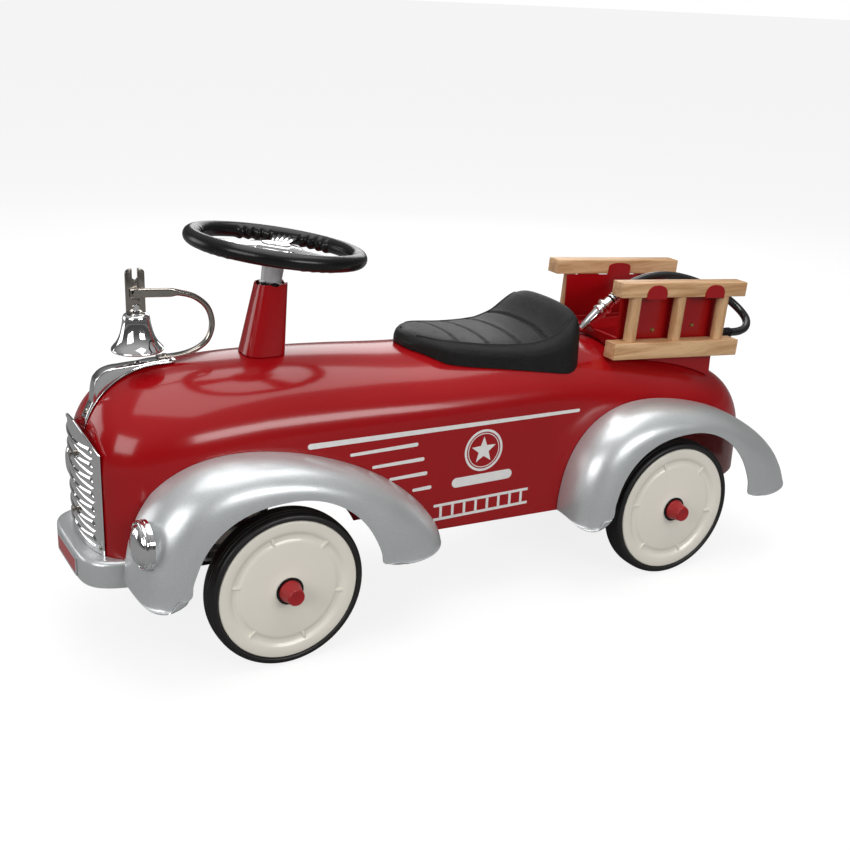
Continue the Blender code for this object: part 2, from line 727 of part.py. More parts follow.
def disc_profile():
    """Turned wheel disc: outer face up, ring groove, hub boss behind."""
    face = TYRE_WIDTH / 2 - 0.0004
    bore = AXLE_RADIUS + AXLE_CLEARANCE
    return [(bore, face + 0.0008), (0.020, face + 0.0006), (0.046, face - 0.0008), (0.0485, face - 0.0032),
            (0.0530, face - 0.0032), (0.0555, face - 0.0008), (DISC_RADIUS - 0.0010, face - 0.0004),
            (DISC_RADIUS, face - 0.0014), (DISC_RADIUS, -face * 0.6), (DISC_RADIUS - 0.0016, -face * 0.6),
            (DISC_RADIUS - 0.0016, face - 0.0065), (0.016, face - 0.0060), (0.013, -face), (bore, -face),
            (bore, face + 0.0008)]


def wheel_centre(side, axle_y):
    return Vector((side * (WHEEL_OUTER_X - TYRE_WIDTH / 2), axle_y, AXLE_Z))


def make_wheel(where, side, axle_y, parent):
    """Tyre and disc turn; the cap covers the axle end and turns with them."""
    turn = Matrix.Translation(wheel_centre(side, axle_y)) @ Matrix.Rotation(side * math.pi / 2, 4, "Y")
    as_mesh(turned("tyre_profile", tyre_profile(), steps=32), f"tyre_{where}", TYRE_RUBBER, parent, turn)
    as_mesh(turned("disc_profile", disc_profile(), steps=32), f"wheel_disc_{where}", CREAM, parent, turn)
    face = TYRE_WIDTH / 2 - 0.0004 + 0.0008 + GAP
    socket = AXLE_RADIUS + AXLE_CLEARANCE
    depth = AXLE_END_X - WHEEL_OUTER_X + TYRE_WIDTH / 2 + 0.0006
    cap = [(0.0, face + CAP_LENGTH), (CAP_END_RADIUS - 0.001, face + CAP_LENGTH),
           (CAP_END_RADIUS, face + CAP_LENGTH - 0.001), (CAP_BASE_RADIUS, face + 0.001), (CAP_BASE_RADIUS, face),
           (socket, face), (socket, depth), (0.0, depth)]
    as_mesh(turned("cap_profile", cap, steps=16), f"hub_cap_{where}", CAP_RUBBER, parent, turn)


def make_rear_axle():
    axle = rod("rear_axle", (-AXLE_END_X, WHEELBASE, AXLE_Z), (AXLE_END_X, WHEELBASE, AXLE_Z), AXLE_RADIUS)
    place(axle, STEEL)
    inner = BODY_HALF_WIDTH - SHEET - GAP * 2
    bracket = box("rear_axle_bracket", (-inner, WHEELBASE - 0.028, 0.126), (inner, WHEELBASE + 0.008, 0.129))
    place(bracket, STEEL)
    for side in (-1, 1):
        low, high = sorted((side * inner, side * (inner - 0.003)))
        join(bracket, box(f"bracket_ear_{side}", (low, WHEELBASE - 0.028, 0.062), (high, WHEELBASE + 0.008, 0.129)))
    cut(bracket, rod("bracket_bore", (-0.1, WHEELBASE, AXLE_Z), (0.1, WHEELBASE, AXLE_Z), AXLE_RADIUS + GAP))


# Front axle and steering linkage

BEAM_LOW = AXLE_Z + KNUCKLE_SIDE / 2 + 0.0010
BEAM_HIGH = BEAM_LOW + 0.0120
ARM_TOP = AXLE_Z - KNUCKLE_SIDE / 2
ARM_LOW = ARM_TOP - ARM_THICKNESS
TIE_TOP = ARM_LOW - 0.0008
TIE_LOW = TIE_TOP - ARM_THICKNESS
PITMAN_Y = column_point(ARM_TOP).y - STEERING_ARM * math.cos(COLUMN_LEAN)


def make_front_frame():
    half = KINGPIN_X + 0.009
    frame = box("front_axle_beam", (-half, -0.009, BEAM_LOW), (half, 0.009, BEAM_HIGH))
    place(frame, STEEL)
    nose_inside = NOSE_Y + SHEET + GAP * 3
    strap_low = BEAM_HIGH - 0.003
    join(frame, box("frame_strap", (-0.014, nose_inside, strap_low), (0.014, 0.0, BEAM_HIGH)))
    join(frame, box("frame_flange", (-0.014, nose_inside, strap_low), (0.014, nose_inside + 0.003, 0.146)))
    for side in (-1, 1):
        x = side * KINGPIN_X
        cut(frame, rod(f"kingpin_bore_{side}", (x, 0, 0.05), (x, 0, 0.15), KINGPIN_RADIUS + AXLE_CLEARANCE))
    cut(frame, rod("flange_screw_bore", (0, NOSE_Y - 0.01, GRILLE_SCREW_Z[0]), (0, NOSE_Y + 0.03, GRILLE_SCREW_Z[0]),
                   SCREW_RADIUS + GAP))
    cut(frame, rod("beam_column_bore", column_point(0.04), column_point(0.14), SHAFT_RADIUS + SHAFT_CLEARANCE))


def make_knuckle(side, word, parent):
    x = side * KINGPIN_X
    half = KNUCKLE_SIDE / 2
    knuckle = box(f"knuckle_{word}", (x - half, -half, AXLE_Z - half), (x + half, half, AXLE_Z + half))
    place(knuckle, STEEL, parent)
    join(knuckle, rod(f"kingpin_{word}", (x, 0, AXLE_Z), (x, 0, BEAM_HIGH + 0.004), KINGPIN_RADIUS))
    join(knuckle, rod(f"stub_axle_{word}", (x, 0, AXLE_Z), (side * AXLE_END_X, 0, AXLE_Z), AXLE_RADIUS))
    join(knuckle, box(f"knuckle_arm_{word}", (x - 0.005, -STEERING_ARM - 0.005, ARM_LOW),
                      (x + 0.005, half, ARM_TOP + 0.001)))
    join(knuckle, rod(f"arm_pin_{word}", (x, -STEERING_ARM, ARM_TOP), (x, -STEERING_ARM, TIE_LOW - 0.0015),
                      TIE_PIN_RADIUS))


def make_tie_rod(parent):
    tie = box("tie_rod", (-KINGPIN_X, -STEERING_ARM - 0.004, TIE_LOW), (KINGPIN_X, -STEERING_ARM + 0.004, TIE_TOP))
    place(tie, STEEL, parent)
    join(tie, rod("tie_middle", (0, PITMAN_Y, TIE_LOW), (0, PITMAN_Y, TIE_TOP), TIE_END_RADIUS))
    hole = TIE_PIN_RADIUS + TIE_HOLE_CLEARANCE
    cut(tie, rod("tie_middle_bore", (0, PITMAN_Y, 0.04), (0, PITMAN_Y, 0.08), hole))
    ends = [(word, side * KINGPIN_X, -STEERING_ARM) for side, word in ((1, "left"), (-1, "right"))]
    for word, x, y in ends:
        join(tie, rod(f"tie_end_{word}", (x, y, TIE_LOW), (x, y, TIE_TOP), TIE_END_RADIUS))
    for word, x, y in ends:
        cut(tie, rod(f"tie_bore_{word}", (x, y, 0.04), (x, y, 0.08), hole))


def make_steering(parent):
    lean = Matrix.Rotation(-COLUMN_LEAN, 4, "X")
    centre = Vector((0, *STEERING_CENTRE))
    rim_circle = []
    for i in range(8):
        angle = 2 * math.pi * i / 8
        rim_circle.append((RIM_RADIUS + RIM_TUBE * math.cos(angle), -RIM_TUBE * math.sin(angle)))
    rim = turned("rim_profile", rim_circle + [rim_circle[0]], steps=32)
    as_mesh(rim, "steering_rim", BLACK_PLASTIC, parent, Matrix.Translation(centre) @ lean)
    spokes = rod("steering_spokes", (0, 0, -SPOKE_THICKNESS / 2), (0, 0, SPOKE_THICKNESS / 2 + 0.002), 0.026, 0.022, 32)
    place(spokes, CHROME, parent)
    reach = RIM_RADIUS - RIM_TUBE - GAP * 4
    for i in range(3):
        arm = box(f"spoke_{i}", (-0.0085, 0.0, -SPOKE_THICKNESS / 2), (0.0085, reach, SPOKE_THICKNESS / 2))
        arm.data.transform(Matrix.Rotation(math.radians(120 * i + 180), 4, "Z"))
        arm.data.transform(Matrix.Translation(centre) @ lean)
        join(spokes, arm)
    spokes.data.transform(Matrix.Translation(centre) @ lean)
    boss_top = centre - COLUMN_AXIS * (SPOKE_THICKNESS / 2 + GAP)
    boss_low = boss_top - COLUMN_AXIS * BOSS_LENGTH
    boss = rod("steering_boss", boss_low, boss_top, BOSS_RADIUS * 0.9, BOSS_RADIUS, sides=28)
    place(boss, GREY_PLASTIC, parent)
    cut(boss, rod("boss_bore", boss_low - COLUMN_AXIS * 0.01, boss_top - COLUMN_AXIS * 0.004, SHAFT_RADIUS + GAP))
    foot = column_point(ARM_TOP - 0.001)
    shaft = rod("steering_shaft", foot, boss_top - COLUMN_AXIS * (0.004 + GAP), SHAFT_RADIUS)
    place(shaft, STEEL, parent)
    pitman = box("pitman_arm", (-0.006, -STEERING_ARM - 0.005, -ARM_THICKNESS), (0.006, 0.007, 0.0))
    pitman.data.transform(Matrix.Translation(foot) @ lean @ Matrix.Translation((0, 0, ARM_THICKNESS * 0.6)))
    join(shaft, pitman)
    join(shaft, rod("pitman_pin", (0, PITMAN_Y, ARM_TOP + 0.0035), (0, PITMAN_Y, TIE_LOW - 0.0015), TIE_PIN_RADIUS))


def make_column_cover():
    """Tapered sheet pylon round the column, cut to sit on the hood's crown."""
    sides, sheet = 28, SHEET
    exponent = 2.6
    top = column_point(COVER_TOP_Z)
    low_z = body_top(0, column_point(0.26).y)
    low = column_point(low_z)
    foot_lift = GAP * 3

    def ring(centre, radius, on_hood):
        points = ring_of(centre, (1, 0, 0), (0, 1, 0), radius * 0.92, radius, sides, exponent)
        if on_hood:
            for point in points:
                point.z = body_top(point.x, point.y) + foot_lift
        return points

    def build(bm):
        outer = surface(bm, [ring(low, COVER_BASE_RADIUS, True), ring(top, COVER_TOP_RADIUS, False)], closed=True)
        inner = surface(bm, [ring(low, COVER_BASE_RADIUS - sheet, True), ring(top, COVER_TOP_RADIUS - sheet, False)],
                        closed=True)
        for level in (0, 1):
            for i in range(sides):
                j = (i + 1) % sides
                bm.faces.new((outer[level][i], outer[level][j], inner[level][j], inner[level][i]))
        bmesh.ops.recalc_face_normals(bm, faces=bm.faces)
    cover = mesh_from("column_cover", build)
    place(cover, RED_PAINT, smooth=30)
    bush_low = top - COLUMN_AXIS * 0.008
    bush = rod("column_bush", bush_low, top - COLUMN_AXIS * 0.0005, COVER_TOP_RADIUS - sheet - 0.0022, sides=24)
    place(bush, BLACK_PLASTIC)
    cut(bush, rod("bush_bore", bush_low - COLUMN_AXIS * 0.01, top + COLUMN_AXIS * 0.01,
                  SHAFT_RADIUS + AXLE_CLEARANCE, sides=24))


# Bell and hood ornament

def hood_line(y):
    """Height of the hood along its middle, nose rounding included."""
    if y >= SPINE_FRONT_Y:
        return between(RIDGE, y)
    share = min(1, (SPINE_FRONT_Y - y) / (SPINE_FRONT_Y - NOSE_Y))
    low = between(SHOULDER, NOSE_Y)
    return low + (between(RIDGE, SPINE_FRONT_Y) - low) * (1 - share ** CROWN_POWER) ** (1 / CROWN_POWER)


def make_ornament():
    """Chrome bracket along the hood's middle: both feet lie on the hood and its bridge stands above the nose."""
    half = 0.0080
    clear = 0.0014
    rises = ((-0.1470, 0.0022), (-0.1408, 0.0024), (-0.1368, 0.0034), (-0.1352, 0.0125), (-0.1328, 0.0178),
             (-0.1277, 0.0172), (-0.1192, 0.0130), (-0.1090, 0.0075), (-0.0957, 0.0032), (-0.0880, 0.0024),
             (-0.0600, 0.0024))
    rings = []
    for y in (-0.1470, -0.1440, -0.1408, -0.1385, -0.1368, -0.1352, -0.1340, -0.1328, -0.1302, -0.1277, -0.1235,
              -0.1192, -0.1140, -0.1090, -0.1020, -0.0957, -0.0880, -0.0740, -0.0600):
        rise = between(rises, y)
        low = hood_line(y) + clear
        high = hood_line(y) + clear + rise
        rings.append([Vector((-half, y, low)), Vector((half, y, low)), Vector((half, y, high)),
                      Vector((half * 0.7, y, high + 0.0008)), Vector((-half * 0.7, y, high + 0.0008)),
                      Vector((-half, y, high))])
    ornament = loft("hood_ornament", rings)
    place(ornament, CHROME, smooth=30)
    return hood_line(-0.0700) + clear + rises[-1][1] + 0.0008


ARM_PATH = ((-0.0985, 0.3260), (-0.0900, 0.3257), (-0.0640, 0.3240), (-0.0545, 0.3228), (-0.0400, 0.3176),
            (-0.0285, 0.3070), (-0.0243, 0.2920), (-0.0282, 0.2785), (-0.0365, 0.2712), (-0.0475, 0.2672),
            (-0.0600, 0.2660), (-0.0760, 0.2660))
ARM_FLAT = ((0.0012, 0.0040), (0.0012, 0.0040), (0.0013, 0.0040), (0.0026, 0.0028), (0.0027, 0.0027),
            (0.0027, 0.0027), (0.0027, 0.0027), (0.0027, 0.0027), (0.0027, 0.0027), (0.0035, 0.0020),
            (0.0046, 0.0010), (0.0046, 0.0010))
ARM_OFFSET = (0.0026, 0.0026, 0.0026, 0.0012, 0, 0, 0, 0, 0, 0, 0, 0)


def make_bell_arm(foot_z):
    path = [Vector((off, y, z)) for (y, z), off in zip(ARM_PATH, ARM_OFFSET)]
    lift = foot_z + GAP + ARM_FLAT[-1][1] - path[-1].z
    for i in (-1, -2):
        path[i].z += lift
    rings = []
    for i, centre in enumerate(path):
        along = (path[min(i + 1, len(path) - 1)] - path[max(i - 1, 0)]).normalized()
        side = Vector((1, 0, 0))
        normal = side.cross(along).normalized()
        rings.append(ring_of(centre, side, normal, *ARM_FLAT[i], 12, 2.6))
    arm = loft("bell_arm", rings)
    place(arm, CHROME, smooth=50)
    cut(arm, rod("arm_bolt_bore", (-0.02, BELL_Y, PIVOT_Z), (0.02, BELL_Y, PIVOT_Z), BELL_BOLT_RADIUS + GAP, sides=24))


def bell_profile():
    outer = [(0.0028, 0.0), (0.0085, 0.0002), (0.0112, 0.0022), (0.0122, 0.0070), (0.0140, 0.0150),
             (0.0165, 0.0220), (0.0200, 0.0280), (BELL_RIM_RADIUS, 0.0318), (BELL_RIM_RADIUS, 0.0335)]
    inner = [(r - BELL_WALL, max(d, 0.0022)) for r, d in outer[1:-1]]
    inner = [(BELL_RIM_RADIUS - BELL_WALL, 0.0335)] + inner[::-1]
    inner[-1] = (inner[-1][0], 0.0020)
    return outer + inner + [(0.0028, 0.0020), outer[0]]


def make_bell(bell_parent, clapper_parent):
    turn = Matrix.Translation((0, BELL_Y, BELL_TOP_Z))
    profile = [(r, -d) for r, d in bell_profile()]
    as_mesh(turned("bell_profile", profile, steps=28), "bell", CHROME, bell_parent, turn)
    half = STRAP_WIDTH / 2
    low_z = BELL_TOP_Z + GAP
    outline = [(-half, low_z), (half, low_z)]
    for i in range(9):
        angle = math.pi * i / 8
        outline.append((half * math.cos(angle), STRAP_TOP_Z - half + half * math.sin(angle) * 0.8))
    rings = [[Vector((x, BELL_Y + y, z)) for y, z in outline]
             for x in (-STRAP_THICKNESS / 2, STRAP_THICKNESS / 2)]
    strap = loft("bell_strap", rings)
    place(strap, CHROME, bell_parent, smooth=30)
    cut(strap, rod("strap_bolt_bore", (-0.02, BELL_Y, PIVOT_Z), (0.02, BELL_Y, PIVOT_Z), BELL_BOLT_RADIUS + GAP * 2,
                   sides=24))
    cut(strap, rod("strap_notch", (-0.02, BELL_Y, STRAP_TOP_Z - 0.0065), (0.02, BELL_Y, STRAP_TOP_Z - 0.0065), 0.0026,
                   sides=20))
    cut(strap, box("strap_slot", (-0.02, BELL_Y - 0.0024, STRAP_TOP_Z - 0.0065),
                   (0.02, BELL_Y + 0.0024, STRAP_TOP_Z + 0.01)))
    bolt = rod("bell_bolt", (-0.0045, BELL_Y, PIVOT_Z), (0.0062, BELL_Y, PIVOT_Z), BELL_BOLT_RADIUS, sides=20)
    place(bolt, STEEL)
    join(bolt, rod("bolt_nut", (0.0026 + 0.0012 + GAP, BELL_Y, PIVOT_Z), (0.0068, BELL_Y, PIVOT_Z), 0.0040, sides=6))
    join(bolt, rod("bolt_head", (-0.0046, BELL_Y, PIVOT_Z), (-0.0010 - GAP * 2, BELL_Y, PIVOT_Z), 0.0042, sides=16))
    clapper = rod("clapper", (0, BELL_Y, BELL_RIM_Z + 0.004), (0, BELL_Y, CLAPPER_PIVOT_Z), 0.0010, sides=10)
    place(clapper, STEEL, clapper_parent)

    def ball(bm):
        bmesh.ops.create_uvsphere(bm, u_segments=16, v_segments=10, radius=CLAPPER_BALL_RADIUS)
        bmesh.ops.translate(bm, vec=(0, BELL_Y, BELL_RIM_Z + 0.002), verts=bm.verts)
    join(clapper, mesh_from("clapper_ball", ball))


# Saddle

SEAT_TOP = ((0.168, 0.2560), (0.172, 0.2620), (0.182, 0.2650), (0.200, 0.2645), (0.216, 0.2625), (0.235, 0.2600),
            (0.254, 0.2585), (0.270, 0.2578), (0.285, 0.2580), (0.300, 0.2610), (0.310, 0.2645), (0.318, 0.2695),
            (0.326, 0.2755), (0.334, 0.2815), (0.341, 0.2845), (0.345, 0.2810))
SEAT_PLAN = ((0.168, 0.010), (0.170, 0.016), (0.175, 0.024), (0.185, 0.0375), (0.194, 0.0475), (0.208, 0.0525),
             (0.222, 0.0558), (0.246, 0.0600), (0.271, 0.0642), (0.296, 0.0680), (0.320, 0.0703), (0.330, 0.0690),
             (0.339, 0.0640), (0.345, 0.0570))  # half width at places along the car
SEAT_CROWN = 0.004  # drop of the top from its middle to its sides


def make_seat():
    rings = []
    clear = 0.0010
    stations = (0.168, 0.171, 0.177, 0.187, 0.202, 0.222, 0.250, 0.272, 0.290, 0.306, 0.320, 0.333, 0.341, 0.345)
    for y in stations:
        half = between(SEAT_PLAN, y)
        top = between(SEAT_TOP, y)
        edge = body_top(half, y) + clear
        ring = []
        for i in range(9):
            x = half * (i - 4) / 4
            ring.append(Vector((x, y, max(body_top(x, y) + clear, edge if abs(i - 4) == 4 else 0))))
        for i in range(11):
            angle = math.pi * i / 10
            x = half * power(math.cos(angle), 0.45)
            crown = top - SEAT_CROWN * (x / half) ** 2
            z = edge + 0.002 + (max(crown, edge + 0.006) - edge - 0.002) * abs(math.sin(angle)) ** 0.30
            if i not in (0, 10):
                ring.append(Vector((x * 0.995, y, z)))
        rings.append(ring)
    seat = loft("seat", rings)
    place(seat, SEAT_SKIN, smooth=40)


# Ladders and carrier

def ladder_matrix():
    return Matrix.Translation((0, LADDER_MIDDLE_Y, TOP_RAIL_Z)) @ Matrix.Rotation(-LADDER_TILT, 4, "X")


def make_carrier():
    """Floor tray and two upright panels whose hooks cradle the ladders' top rails."""
    tilt = ladder_matrix()
    rail_low = -TOP_RAIL_HEIGHT / 2 - GAP
    sheet = CARRIER_SHEET
    for side, word in ((1, "left"), (-1, "right")):
        inner_x = PANEL_X - sheet
        steps = 6

        def build(bm):
            rows = []
            for i in range(steps + 1):
                y = PANEL_FRONT_Y + (PANEL_REAR_Y - PANEL_FRONT_Y) * i / steps
                low = max(body_top(PANEL_X - sheet, y), body_top(PANEL_X, y)) + 0.0010
                along = (y - LADDER_MIDDLE_Y) / math.cos(LADDER_TILT)
                high = (tilt @ Vector((0, along, rail_low))).z
                rows.append([Vector((side * x, y, z)) for x, z in ((inner_x, low), (PANEL_X, low), (PANEL_X, high),
                                                                   (inner_x, high))])
            verts = surface(bm, rows, closed=True)
            bm.faces.new(verts[0])
            bm.faces.new(verts[-1][::-1])
            bmesh.ops.recalc_face_normals(bm, faces=bm.faces)
        panel = mesh_from(f"carrier_panel_{word}", build)
        place(panel, RED_PAINT, smooth=30)
        outer_x = PANEL_X + GAP + RAIL_WIDTH + GAP
        for number in (-1, 1):
            low_y, high_y = number * TAB_SPACING / 2 - TAB_WIDTH / 2, number * TAB_SPACING / 2 + TAB_WIDTH / 2
            shelf = box(f"hook_shelf_{word}_{number}",
                        (min(side * inner_x, side * (outer_x + sheet)), low_y, rail_low - sheet),
                        (max(side * inner_x, side * (outer_x + sheet)), high_y, rail_low))
            shelf.data.transform(tilt)
            join(panel, shelf)
            outline = [(low_y, rail_low - sheet), (high_y, rail_low - sheet)]
            for i in range(9):
                angle = math.pi * i / 8
                outline.append(((low_y + high_y) / 2 + TAB_WIDTH / 2 * math.cos(angle) * 0.999,
                                rail_low + 0.004 + 0.0095 * math.sin(angle)))
            tab = loft(f"hook_tab_{word}_{number}", [[Vector((side * x, y, z)) for y, z in outline]
                                                    for x in (outer_x, outer_x + sheet)])
            tab.data.transform(tilt)
            join(panel, tab)
        guard = box(f"guard_tab_{word}", (min(side * inner_x, side * PANEL_X), -INNER_TAB_WIDTH / 2, rail_low - 0.002),
                    (max(side * inner_x, side * PANEL_X), INNER_TAB_WIDTH / 2, TOP_RAIL_HEIGHT / 2 - 0.003))
        guard.data.transform(tilt)
        join(panel, guard)
    make_tray()


def make_tray():
    inner = PANEL_X - CARRIER_SHEET - GAP
    steps = 7

    def build(bm):
        rows = []
        for i in range(steps + 1):
            y = PANEL_FRONT_Y + (PANEL_REAR_Y - PANEL_FRONT_Y) * i / steps
            high = 0.2460 - 0.0040 * i / steps
            columns = [inner * (k - 5) / 5 for k in range(11)]
            row = [Vector((x, y, body_top(x, y) + 0.0010)) for x in columns]
            row += [Vector((inner, y, high)), Vector((-inner, y, high))]
            rows.append(row)
        verts = surface(bm, rows, closed=True)
        bm.faces.new(verts[0])
        bm.faces.new(verts[-1][::-1])
        bmesh.ops.recalc_face_normals(bm, faces=bm.faces)
    tray = mesh_from("carrier_tray", build)
    place(tray, RED_PAINT, smooth=30)
    floor_z = 0.2390
    cut(tray, box("tray_hollow", (-inner + 0.0025, PANEL_FRONT_Y + 0.004, floor_z),
                  (inner - 0.0025, PANEL_REAR_Y - 0.004, 0.28)))
    x, y, z = HOSE_ROUTE[-1]
    fitting = rod("hose_fitting", (x, PANEL_REAR_Y + GAP, z), (x, y - 0.0009, z), 0.0066, 0.0056)
    place(fitting, BLACK_PLASTIC)


def make_ladder(side, word, parent):
    tilt = ladder_matrix()
    half = LADDER_LENGTH / 2
    inner_x = PANEL_X + GAP
    lower_z = -RAIL_SPACING
    low_top, low_low = lower_z + LOWER_RAIL_HEIGHT / 2, lower_z - LOWER_RAIL_HEIGHT / 2
    for name, low, high in (("top_rail", -TOP_RAIL_HEIGHT / 2, TOP_RAIL_HEIGHT / 2), ("lower_rail", low_low, low_top)):
        shift = 0.0 if name == "top_rail" else 0.0015
        ends = sorted((side * (inner_x + shift), side * (inner_x + RAIL_WIDTH + shift)))
        rail = box(f"ladder_{name}_{word}", (ends[0], -half, low), (ends[1], half, high))
        rail.data.transform(tilt)
        place(rail, WOOD, parent, smooth=20)
    for i in (-1, 0, 1):
        x = side * (inner_x + RAIL_WIDTH / 2 + 0.0007)
        names = {-1: "front", 0: "middle", 1: "rear"}
        rung = rod(f"ladder_rung_{names[i]}_{word}", tilt @ Vector((x, i * RUNG_SPACING, low_top + GAP)),
                   tilt @ Vector((x, i * RUNG_SPACING, -TOP_RAIL_HEIGHT / 2 - GAP)), RUNG_RADIUS, sides=16)
        place(rung, WOOD, parent)


# Hose

def make_hose():
    curve = bpy.data.curves.new("hose", "CURVE")
    curve.dimensions = "3D"
    curve.bevel_depth = HOSE_RADIUS
    curve.bevel_resolution = 2
    curve.use_fill_caps = True
    spline = curve.splines.new("POLY")
    route = smooth_route(HOSE_ROUTE, HOSE_POINTS)
    spline.points.add(len(route) - 1)
    for point, at in zip(spline.points, route):
        point.co = (*at, 1)
    hose = bpy.data.objects.new("hose", curve)
    place(hose, HOSE_RUBBER)
    start = route[0]
    tip = Vector(NOZZLE_TIP)
    along = (tip - start).normalized()
    length = (tip - start).length
    side = Vector((1, 0, 0))
    normal = side.cross(along)
    profile = ((GAP, 0.0062), (0.005, 0.0066), (0.0052, 0.0086), (0.008, 0.0092), (0.0105, 0.0086), (0.0107, 0.0070),
               (0.0135, 0.0070), (0.0137, 0.0082), (0.0165, 0.0082), (0.018, 0.0064), (length * 0.72, 0.0042),
               (length - 0.0005, 0.0024), (length, 0.0018))
    rings = [ring_of(start + along * at, side, normal, radius, radius, 16) for at, radius in profile]
    nozzle = loft("hose_nozzle", rings)
    place(nozzle, CHROME, smooth=25)


def axis_at(name, *where):
    """An empty on a joint's axis."""
    empty = bpy.data.objects.new(name, None)
    PARTS.objects.link(empty)
    empty.parent = CAR
    empty.location = where
    return empty


def main():
    make_body()
    make_fenders()
    make_headlights()
    make_bumper()
    make_plate()
    make_grille()
    make_grille_screws()
    make_front_frame()
    make_rear_axle()
    make_column_cover()
    make_steering(axis_at("steering_axis", 0, *STEERING_CENTRE))
    for side, word in ((1, "left"), (-1, "right")):
        make_knuckle(side, word, axis_at(f"kingpin_axis_{word}", side * KINGPIN_X, 0, AXLE_Z))
        for where, y in (("front", 0.0), ("rear", WHEELBASE)):
            axis = axis_at(f"wheel_axis_{where}_{word}", *wheel_centre(side, y))
            make_wheel(f"{where}_{word}", side, y, axis)
        make_ladder(side, word, axis_at(f"ladder_lift_{word}", side * PANEL_X, LADDER_MIDDLE_Y, TOP_RAIL_Z))
    make_tie_rod(axis_at("tie_rod_axis", KINGPIN_X, -STEERING_ARM, TIE_TOP))
    make_bell_arm(make_ornament())
    make_bell(axis_at("bell_axis", 0, BELL_Y, PIVOT_Z), axis_at("clapper_axis", 0, BELL_Y, CLAPPER_PIVOT_Z))
    make_seat()
    make_carrier()
    make_hose()


main()
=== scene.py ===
"""Looks of the ride-on fire car: shells, prints, saddle, wheels, ladders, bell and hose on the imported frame.

Shapes are worked out in the car's own coordinates, whose origin is on the ground under the middle of the
front axle, and are moved into the frame's coordinates by car_y as they are put in place.
"""

import json
import math

import bmesh
import bpy
from mathutils import Matrix, Vector


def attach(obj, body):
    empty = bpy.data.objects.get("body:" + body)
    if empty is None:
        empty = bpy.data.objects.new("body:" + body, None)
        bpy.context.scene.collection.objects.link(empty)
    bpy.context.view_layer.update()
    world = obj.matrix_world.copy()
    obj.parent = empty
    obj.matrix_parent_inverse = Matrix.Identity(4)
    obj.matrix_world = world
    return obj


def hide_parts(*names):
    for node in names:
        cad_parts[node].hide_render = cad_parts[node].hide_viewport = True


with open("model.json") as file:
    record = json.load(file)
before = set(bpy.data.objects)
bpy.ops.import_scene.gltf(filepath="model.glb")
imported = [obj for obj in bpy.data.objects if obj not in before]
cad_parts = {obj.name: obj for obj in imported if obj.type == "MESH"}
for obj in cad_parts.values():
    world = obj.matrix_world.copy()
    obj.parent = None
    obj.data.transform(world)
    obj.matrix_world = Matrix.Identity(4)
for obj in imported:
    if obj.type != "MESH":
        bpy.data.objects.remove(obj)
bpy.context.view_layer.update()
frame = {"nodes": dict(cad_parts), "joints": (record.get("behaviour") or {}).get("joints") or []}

joint_at = {joint["name"]: joint["pos_m"] for joint in frame["joints"] if "pos_m" in joint}
car_y = joint_at["kingpin_left_turn"][1]
to_frame = Matrix.Translation((0, car_y, 0))
SIDES = ((1, "left"), (-1, "right"))

gap = 0.0003
wheelbase = joint_at["wheel_rear_left_spin"][1] - car_y
axle_z = joint_at["wheel_rear_left_spin"][2]


# Camera

CAMERA_LENS = 52.77
CAMERA_AT = (1.0343, -0.3985, 0.5941)
CAMERA_ROUND = math.radians(59.884)
CAMERA_ABOVE = math.radians(19.870)
CAMERA_LEAN = math.radians(2.406)


def make_camera():
    """Three-quarter view from the car's left front, a little above it."""
    data = bpy.data.cameras.new("camera")
    data.lens = CAMERA_LENS
    data.sensor_width = 36
    camera = bpy.data.objects.new("camera", data)
    put_in_scene(camera)
    x, y, z = CAMERA_AT
    camera.location = (x, y + car_y, z)
    turn = (Matrix.Rotation(CAMERA_ROUND, 3, "Z") @ Matrix.Rotation(math.pi / 2 - CAMERA_ABOVE, 3, "X")
            @ Matrix.Rotation(CAMERA_LEAN, 3, "Z"))
    camera.rotation_euler = turn.to_euler()
    bpy.context.scene.camera = camera


# Shared tools

def put_in_scene(obj):
    """Links an object to the scene, where it isn't there yet."""
    if obj.name not in bpy.context.scene.collection.objects:
        bpy.context.scene.collection.objects.link(obj)


def keep(obj, finish, body, stands_for=(), sharp=40):
    """Puts a piece drawn in the car's coordinates on its body, with its material."""
    put_in_scene(obj)
    if obj.type == "MESH":
        obj.data.transform(to_frame)
        obj.data.shade_smooth()
        obj.data.set_sharp_from_angle(angle=math.radians(sharp))
    else:
        obj.location.y = car_y
    obj.data.materials.clear()
    obj.data.materials.append(finish)
    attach(obj, body)
    if stands_for:
        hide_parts(*stands_for)
    return obj


def mesh_from(name, build):
    """An object whose mesh is made by build, which is given an empty bmesh."""
    mesh = bpy.data.meshes.new(name)
    bm = bmesh.new()
    build(bm)
    bm.to_mesh(mesh)
    bm.free()
    return bpy.data.objects.new(name, mesh)


def between(table, at):
    """Value at a place on a smooth curve through (place, value) pairs, level beyond both ends."""
    if at <= table[0][0]:
        return table[0][1]
    if at >= table[-1][0]:
        return table[-1][1]
    count = len(table)
    for i in range(count - 1):
        low, high = table[i], table[i + 1]
        if at > high[0]:
            continue
        step = high[0] - low[0]
        rise = high[1] - low[1]
        straight = rise / step
        before, after = table[max(i - 1, 0)], table[min(i + 2, count - 1)]
        slope_in = (high[1] - before[1]) / (high[0] - before[0])
        slope_out = (after[1] - low[1]) / (after[0] - low[0])
        slope_in, slope_out = (0.0 if slope * straight <= 0 else
                               math.copysign(min(abs(slope), 3 * abs(straight)), straight)
                               for slope in (slope_in, slope_out))
        t = (at - low[0]) / step
        return (low[1] + t * step * slope_in + t * t * (3 * rise - step * (2 * slope_in + slope_out))
                + t ** 3 * (step * (slope_in + slope_out) - 2 * rise))


